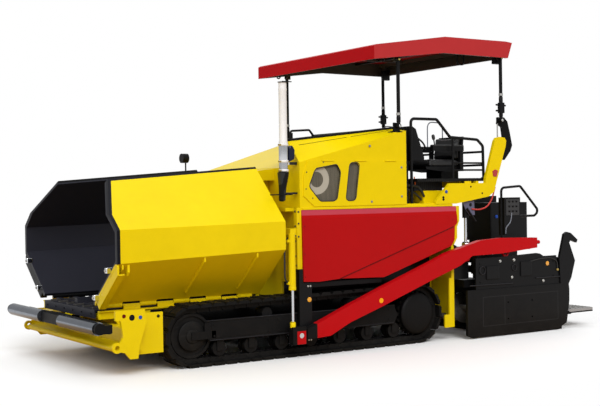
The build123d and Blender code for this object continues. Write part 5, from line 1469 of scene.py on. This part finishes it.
def make_seam_lines(side, y, lower, upper):
    """Sewn lines across the cushion and the back rest."""
    bpy.context.view_layer.update()
    down = (0, 0, -1)
    seams = bmesh.new()
    for x in (-1.10, -1.27):
        seam_over(seams, lower, (x, y - 0.215, 2.25), (0, 0.43, 0), down)
    for offset in (-0.150, 0.150):
        seam_over(seams, lower, (-1.41, y + offset, 2.25), (0.43, 0, 0), down)
    for z in (2.215, 2.310):
        seam_over(seams, upper, (-1.25, y - 0.195, z), (0, 0.39, 0), (-1, 0, 0))
    finish_mesh("seat_seams_" + side, seams, "plastic", "tractor", smooth=True)


def make_seat_arms(side, y):
    """Arm rests with their joysticks."""
    rests, stalks, grips = [], [], []
    for sign in (-1, 1):
        middle, stick = y + sign * 0.2725, y + sign * 0.272
        rests.append(((-1.440, middle - 0.030, 2.284), (-0.962, middle + 0.030, 2.302)))
        stalks.append(at_side(stick, (-1.010, 2.298), (-0.995, 2.372)))
        grip = [(0, 0.013), (0.012, 0.019), (0.045, 0.020), (0.062, 0.012)]
        grips.append(((-0.997, stick, 2.360), (0.2, 0, 1), grip))
    box_piece("arm_rest_pads_" + side, rests, "vinyl", "tractor", 0.008)
    tube_piece("joystick_stalks_" + side, stalks, 0.008, "plastic", "tractor")
    turned_piece("joystick_grips_" + side, grips, "plastic", "tractor", 16)


def make_seats():
    """Pads of both seat stations, with their seams, arm rests and bellows."""
    cushion_outline = [(-1.432, 2.052), (-1.432, 2.112), (-0.958, 2.116), (-0.958, 2.052)]
    rest_outline = [(-1.442, 2.137), (-1.382, 2.137), (-1.421, 2.398), (-1.480, 2.398)]
    cushion = pad_mesh(cushion_outline, -0.232, 0.232)
    rest = pad_mesh(rest_outline, -0.212, 0.212)
    folds = [(0.012 * i, 0.118 if i % 2 else 0.10) for i in range(6)] + [(0.070, 0.10)]
    for side, y in SEATS:
        lower = place_pad("seat_pad_" + side, cushion, y)
        upper = place_pad("back_pad_" + side, rest, y)
        make_seam_lines(side, y, lower, upper)
        if side == "left":
            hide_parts("seat_cushions")
        make_seat_arms(side, y)
        bellows = ((-1.345, y, 1.916), UPRIGHT, folds)
        turned_piece("seat_bellows_" + side, [bellows], "rubber", "tractor", 28)


make_seats()


# ------------------------------------------------------------------ platform
def make_platform_lines():
    """Hoops behind the seats, and the cable and hoses that leave the hood's rear wall."""
    hoop = at_side(0.457, (-1.357, 2.290), (-1.357, 2.612), (-1.600, 2.598), (-1.600, 2.370))
    tube_piece("seat_hoop", [hoop, flip(hoop)], 0.007, "grey_plastic", "tractor", 10, 0.09)
    cable = at_side(1.000, (-0.696, 1.925), (-0.708, 1.822))
    tube_piece("hood_cable", [cable], 0.007, "orange", "tractor", 10, 0.02)
    hoses = [
        at_side(1.000, (-0.450, 1.835), (-0.660, 1.822), (-0.746, 1.818), (-0.814, 1.741), (-0.840, 1.690)),
        at_side(0.960, (-0.450, 1.790), (-0.640, 1.780), (-0.740, 1.730), (-0.840, 1.650)),
    ]
    tube_piece("hood_hoses", hoses, 0.014, "rubber", "tractor")
    places = [-1.700 + 0.06 * i for i in range(17)]
    ribs = [((x, -1.060, 1.9005), (x + 0.004, 1.060, 1.9035)) for x in places]
    box_piece("deck_ribs", ribs, "floor_plate", "tractor", 0.0)


def make_beam_trim():
    """Reflector, cap and bolts on the outer face of each platform beam."""
    lens_outline = [(-1.776, 1.922), (-1.768, 1.985), (-1.806, 2.004), (-1.858, 1.992), (-1.836, 1.916)]
    for side, sign in SIDES:
        face, outwards = sign * BEAM_FACE, (0, sign, 0)
        prism = (lens_outline, 1, *span(sign, BEAM_FACE, 1.176))
        prism_piece("beam_reflector_" + side, [prism], "red_lens", "tractor")
        cap = ((-1.035, face, 1.745), outwards, head(0.019, 0.007, 0.012, 0.012))
        turned_piece("beam_cap_" + side, [cap], "blue", "tractor", 20)
        low_bolts = [(-0.991, face, 1.680), (-0.991, face, 1.655)]
        bolts("beam_bolts_" + side, low_bolts, outwards, "tractor", 0.011, "black")
        face_bolts = [(-1.420, face, 1.800), (-1.600, face, 1.720)]
        bolts("beam_face_bolts_" + side, face_bolts, outwards, "tractor", 0.008, "black")


def make_tunnel_trim():
    """Plates at the rear of the body, and the bracket, strut and hose that work with the lift cylinder."""
    strip = [
        (-1.1405, 1.575), (-1.250, 1.575), (-1.250, 1.400),
        (-1.215, 1.330), (-1.215, 1.200), (-1.1405, 1.080),
    ]
    guard = [
        (-1.150, 1.105), (-1.214, 1.105), (-1.250, 1.000), (-1.400, 0.990), (-1.400, 0.705), (-1.150, 0.705),
    ]
    bracket = [(-1.300, 1.650), (-1.495, 1.668), (-1.506, 1.460), (-1.430, 1.450), (-1.360, 1.530)]
    plates = (
        ("body_rear_strip_", "yellow", 0.004, (1.130, 1.150), strip),
        ("tunnel_guard_", "black", 0.002, (1.124, 1.133), guard),
        ("lift_bracket_", "bracket_grey", 0.004, (1.129, 1.139), bracket),
    )
    for side, sign in SIDES:
        for name, finish, bevel, depth, outline in plates:
            prism_piece(name + side, [(outline, 1, *span(sign, *depth))], finish, "tractor", bevel)
        pin = ((-1.436, sign * 1.139, 1.585), (0, sign, 0), head(0.020, 0.006, 0.012, 0.010))
        turned_piece("lift_bracket_pin_" + side, [pin], "black", "tractor", 20)
        strut = at_side(sign * 1.150, (-1.372, 1.540), (-1.504, 1.385))
        tube_piece("lift_bracket_bar_" + side, [strut], 0.014, "black", "tractor")
        turns = ((-1.830, 1.790), (-1.775, 1.640), (-1.695, 1.552), (-1.566, 1.520), (-1.450, 1.534))
        hose = at_side(sign * 1.146, *turns)
        tube_piece("lift_hose_" + side, [hose], 0.009, "hose_red", "tractor", 12, 0.06)


def make_controls():
    """Dash clusters, and both steering columns with their wheels."""
    for side, y in SEATS:
        cluster = ((-0.726, y - 0.170, 2.395), (-0.632, y + 0.170, 2.500))
        box_piece("dash_cluster_" + side, [cluster], "plastic", "tractor", 0.012)
    column = at_side(SEAT_Y, (-0.800, 2.200), (-0.905, 2.330))
    tube_piece("steering_column", [column, flip(column)], 0.020, "plastic", "tractor", 16)
    axis, reach = Vector((-0.63, 0, 0.78)), 0.150
    across, up = frame_for(axis.normalized())
    wheels = bmesh.new()
    for _, y in SEATS:
        hub = Vector((-0.915, y, 2.342))

        def on_rim(angle):
            return hub + across * reach * math.cos(angle) + up * reach * math.sin(angle)

        add_tube(wheels, [on_rim(angle) for angle in round_angles(40)], 0.011, 10, closed=True)
        for angle in (0.5, 2.6, 4.7):
            add_tube(wheels, [hub, on_rim(angle)], 0.007, 8)
        add_turned(wheels, hub - axis * 0.02, axis, [(0, 0.030), (0.030, 0.034), (0.040, 0.024)], 20)
    finish_mesh("steering_wheels", wheels, "plastic", "tractor", smooth=True)


make_platform_lines()
make_beam_trim()
make_tunnel_trim()
make_controls()


# ------------------------------------------------------------------ augers
def add_flight(bm, sign):
    """Screw blade, wound round the auger's shaft from the machine's middle outwards."""
    start, end, turns, steps = 0.135, 1.105, 3.8, 112
    blade = ((0.036, -0.008), (0.180, -0.005), (0.180, 0.005), (0.036, 0.008))
    axis = Vector((AUGER_X, 0.0, AUGER_Z))
    rings = []
    for i in range(steps + 1):
        share = i / steps
        angle = ONE_TURN * turns * share
        y = start + (end - start) * share
        spin = Vector((math.cos(angle), 0.0, -math.sin(angle)))
        corners = []
        for radius, lean in blade:
            corner = axis + spin * radius
            corners.append(bm.verts.new((corner.x, sign * (y + lean), corner.z)))
        rings.append(corners)
    join_rings(bm, zip(rings, rings[1:]))
    bm.faces.new(rings[0])
    bm.faces.new(rings[-1][::-1])


def make_augers():
    """Augers in place of their CAD nodes, and the bolts of their outer hangers."""
    shaft = band(0.034, 0.038, 0.004, 1.020)
    for side, sign in SIDES:
        bm = bmesh.new()
        add_flight(bm, sign)
        add_turned(bm, (AUGER_X, sign * 0.110, AUGER_Z), (0, sign, 0), shaft, 28)
        auger = finish_mesh("auger_screw_" + side, bm, "wear_steel", "auger_" + side, smooth=True)
        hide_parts("auger_" + side)
        places = [(AUGER_X + 0.030, sign * 1.1505, z) for z in (0.40, 0.50)]
        bolts("auger_hanger_bolts_" + side, places, (1, 0, 0), "auger_carriage", 0.012, "black")


make_augers()


# ------------------------------------------------------------------ tow arms and levelling cylinders
def make_levelling_trim():
    """Rod, gland, eye, ports and hose of each levelling cylinder."""
    rod = [(0, 0.0165), (0.340, 0.0165)]
    gland = [(0, 0.030), (0.004, 0.040), (0.036, 0.040), (0.040, 0.0385)]
    eye = [(0, 0.020), (0.010, 0.030), (0.060, 0.030), (0.072, 0.022)]
    for side, sign in SIDES:
        x, y = LEVELLING_X, sign * LEVELLING_Y
        turned_piece("levelling_rod_" + side, [((x, y, 0.395), UPRIGHT, rod)], "chrome", "tow_points")
        turned_piece("levelling_gland_" + side, [((x, y, 0.728), UPRIGHT, gland)], "yellow", "tractor", 28)
        turned_piece("levelling_eye_" + side, [((x, y, 0.325), UPRIGHT, eye)], "yellow", "tow_points")
        low, high = span(sign, 1.215, 1.250)
        ports = [((1.205, low, z), (1.232, high, z + 0.030)) for z in (1.235, 0.790)]
        box_piece("levelling_ports_" + side, ports, "yellow", "tractor", 0.004)
        run = at_side(y, (1.222, 0.805), (1.262, 0.850), (1.262, 1.180))
        run += [(1.180, y - sign * 0.075, 1.290), (1.060, y - sign * 0.085, 1.300)]
        tube_piece("levelling_hose_" + side, [run], 0.009, "rubber", "tractor", 12, 0.06)


def make_tow_trim():
    """Guide plates of the tow arms, rear fenders, and the arms' end pins, struts and mounts."""
    strut = [
        (-1.010, 0.905), (-1.300, 0.960), (-1.352, 1.010), (-1.372, 1.003), (-1.330, 0.925), (-1.010, 0.865),
    ]
    for side, sign in SIDES:
        outwards = (0, sign, 0)
        low, high = span(sign, 1.150, 1.180)
        plate = ((0.885, low, 0.165), (1.0, high, 0.790))
        box_piece("tow_guide_plate_" + side, [plate], "black", "tractor", 0.004)
        lens_place = ((0.921, sign * 1.180, 0.610), outwards, head(0.026, 0.004, 0.020, 0.006))
        turned_piece("guide_reflector_" + side, [lens_place], "amber", "tractor", 28)
        corners = [(x, sign * 1.180, z) for x in (0.905, 0.935) for z in (0.755, 0.178)]
        bolts("tow_guide_bolts_" + side, corners, outwards, "tractor", 0.008)
        low, high = span(sign, 0.765, 1.100)
        fender = ((-1.152, low, 0.300), (-1.1405, high, 0.980))
        box_piece("rear_fender_" + side, [fender], "yellow", "tractor", 0.002)
        pin = [(0, 0.030), (0.020, 0.030), (0.022, 0.024), (0.060, 0.024)]
        end = ((-2.405, sign * LEVELLING_Y, 1.105), (-1, 0, 0), pin)
        turned_piece("arm_end_pin_" + side, [end], "arm_red", "screed", 20)
        low, high = span(sign, 1.195, 1.225)
        prism_piece("arm_strut_" + side, [(strut, 1, low, high)], "arm_red", "screed", 0.004)
        for end, x in (("front_", -1.840), ("rear_", -2.000)):
            fork = [(x - 0.012, 1.030), (x + 0.012, 1.030), (-1.908, 0.935), (-1.932, 0.935)]
            prism_piece("arm_mount_" + end + side, [(fork, 1, low, high)], "arm_red", "screed", 0.002)


make_levelling_trim()
make_tow_trim()


# ------------------------------------------------------------------ screed
def make_gate_trim():
    """Bolts, reflector, rails, lifting rings, boxes and hose on the outer face of each end gate."""
    for side, sign in SIDES:
        gate, face, y, outwards = "gate_" + side, sign * GATE_FACE, sign * GATE_TRIM, (0, sign, 0)
        large = at_side(face, (-1.980, 0.697), (-2.510, 0.625), (-1.790, 0.900), (-2.018, 0.905))
        bolts("gate_bolts_" + side, large, outwards, gate, 0.013)
        small = at_side(face, (-1.470, 0.66), (-1.470, 0.88), (-2.690, 0.68), (-2.690, 0.86))
        bolts("gate_small_bolts_" + side, small, outwards, gate, 0.009, "black")
        lens_place = ((-2.582, face, 0.836), outwards, head(0.027, 0.005, 0.020, 0.009))
        turned_piece("gate_reflector_" + side, [lens_place], "amber", gate, 28)
        runs = (((-1.300, 0.629), (-1.990, 0.622)), ((-2.380, 0.665), (-2.790, 0.663)))
        rails = [at_side(sign * 1.2665, *run) for run in runs]
        tube_piece("gate_rails_" + side, rails, 0.0075, "worn_edge", gate, 10)
        rings = bmesh.new()
        for x, z, radius, bar in ((-2.020, 0.811, 0.036, 0.005), (-1.500, 0.801, 0.046, 0.006)):
            circle = [(x + radius * math.cos(a), y, z + radius * math.sin(a)) for a in round_angles(32)]
            add_tube(rings, circle, bar, 8, closed=True)
        finish_mesh("gate_rings_" + side, rings, "worn_edge", gate, smooth=True)
        low, high = span(sign, GATE_FACE, 1.274)
        boxes = [
            ((-1.760, low, 0.690), (-1.560, high, 0.850)),
            ((-2.300, low, 0.700), (-2.120, high, 0.880)),
        ]
        box_piece("gate_boxes_" + side, boxes, "black", gate, 0.006)
        fitting = ((-2.770, low, 0.738), (-2.735, high, 0.766))
        box_piece("gate_brass_fitting_" + side, [fitting], "brass", gate, 0.004)
        turns = ((-2.755, 0.766), (-2.745, 0.860), (-2.640, 0.905), (-2.440, 0.900), (-2.260, 0.870))
        hose = at_side(y, *turns)
        tube_piece("gate_hose_" + side, [hose], 0.0075, "rubber", gate, 10)


def make_walkway_gratings():
    """Bars of the rear walkways, both ways."""
    bottom = 0.2315
    for side, sign in SIDES:
        bars = []
        for i in range(19):
            y = 0.150 + 0.0575 * i
            low, high = span(sign, y, y + 0.008)
            bars.append(((-3.405, low, bottom), (-3.060, high, 0.2385)))
        low, high = span(sign, 0.135, 1.210)
        for i in range(6):
            x = -3.400 + 0.066 * i
            bars.append(((x, low, bottom), (x + 0.006, high, 0.2370)))
        box_piece("walkway_grating_" + side, bars, "zinc", "walkway_" + side, 0.0)


def make_console_trim():
    """Panel, knobs and hose of each outer console, and the bolts of the inner steps."""
    knob = head(0.012, 0.010, 0.008, 0.014)
    for side, sign in SIDES:
        outwards = (0, sign, 0)
        hose = at_side(sign * 1.064, (-2.180, 1.470), (-2.165, 1.360), (-2.080, 1.290), (-2.075, 1.215))
        tube_piece("console_hose_" + side, [hose], 0.007, "grey_plastic", "screed", 10)
        low, high = span(sign, 1.058, 1.064)
        panel = ((-2.310, low, 1.440), (-2.090, high, 1.640))
        box_piece("console_panel_" + side, [panel], "plastic", "screed")
        places = [(x, sign * 1.063, z) for x in (-2.26, -2.20, -2.14) for z in (1.49, 1.55, 1.61)]
        knobs = [(place, outwards, knob) for place in places]
        turned_piece("console_knobs_" + side, knobs, "black", "screed", 14)
        places = [(x, sign * 0.640, 0.950) for x in (-2.10, -2.25)]
        bolts("screed_step_bolts_" + side, places, outwards, "screed", 0.012)


def make_cabinet_trim():
    """Cap, doors and latches of the cabinet on the screed."""
    cap = ((-2.432, 0.519, 1.410), (0, 1, 0), head(0.022, 0.010, 0.014, 0.014))
    turned_piece("cabinet_cap", [cap], "blue", "screed", 20)
    widths = ((-2.900, -2.650), (-2.630, -2.480))
    doors = [((rear, 0.519, 1.160), (front, 0.524, 1.540)) for rear, front in widths]
    box_piece("cabinet_doors", doors, "black", "screed")
    widths = ((-2.670, -2.655), (-2.500, -2.485))
    latches = [((rear, 0.523, 1.330), (front, 0.532, 1.390)) for rear, front in widths]
    box_piece("cabinet_latches", latches, "zinc", "screed")


make_gate_trim()
make_walkway_gratings()
make_console_trim()
make_cabinet_trim()
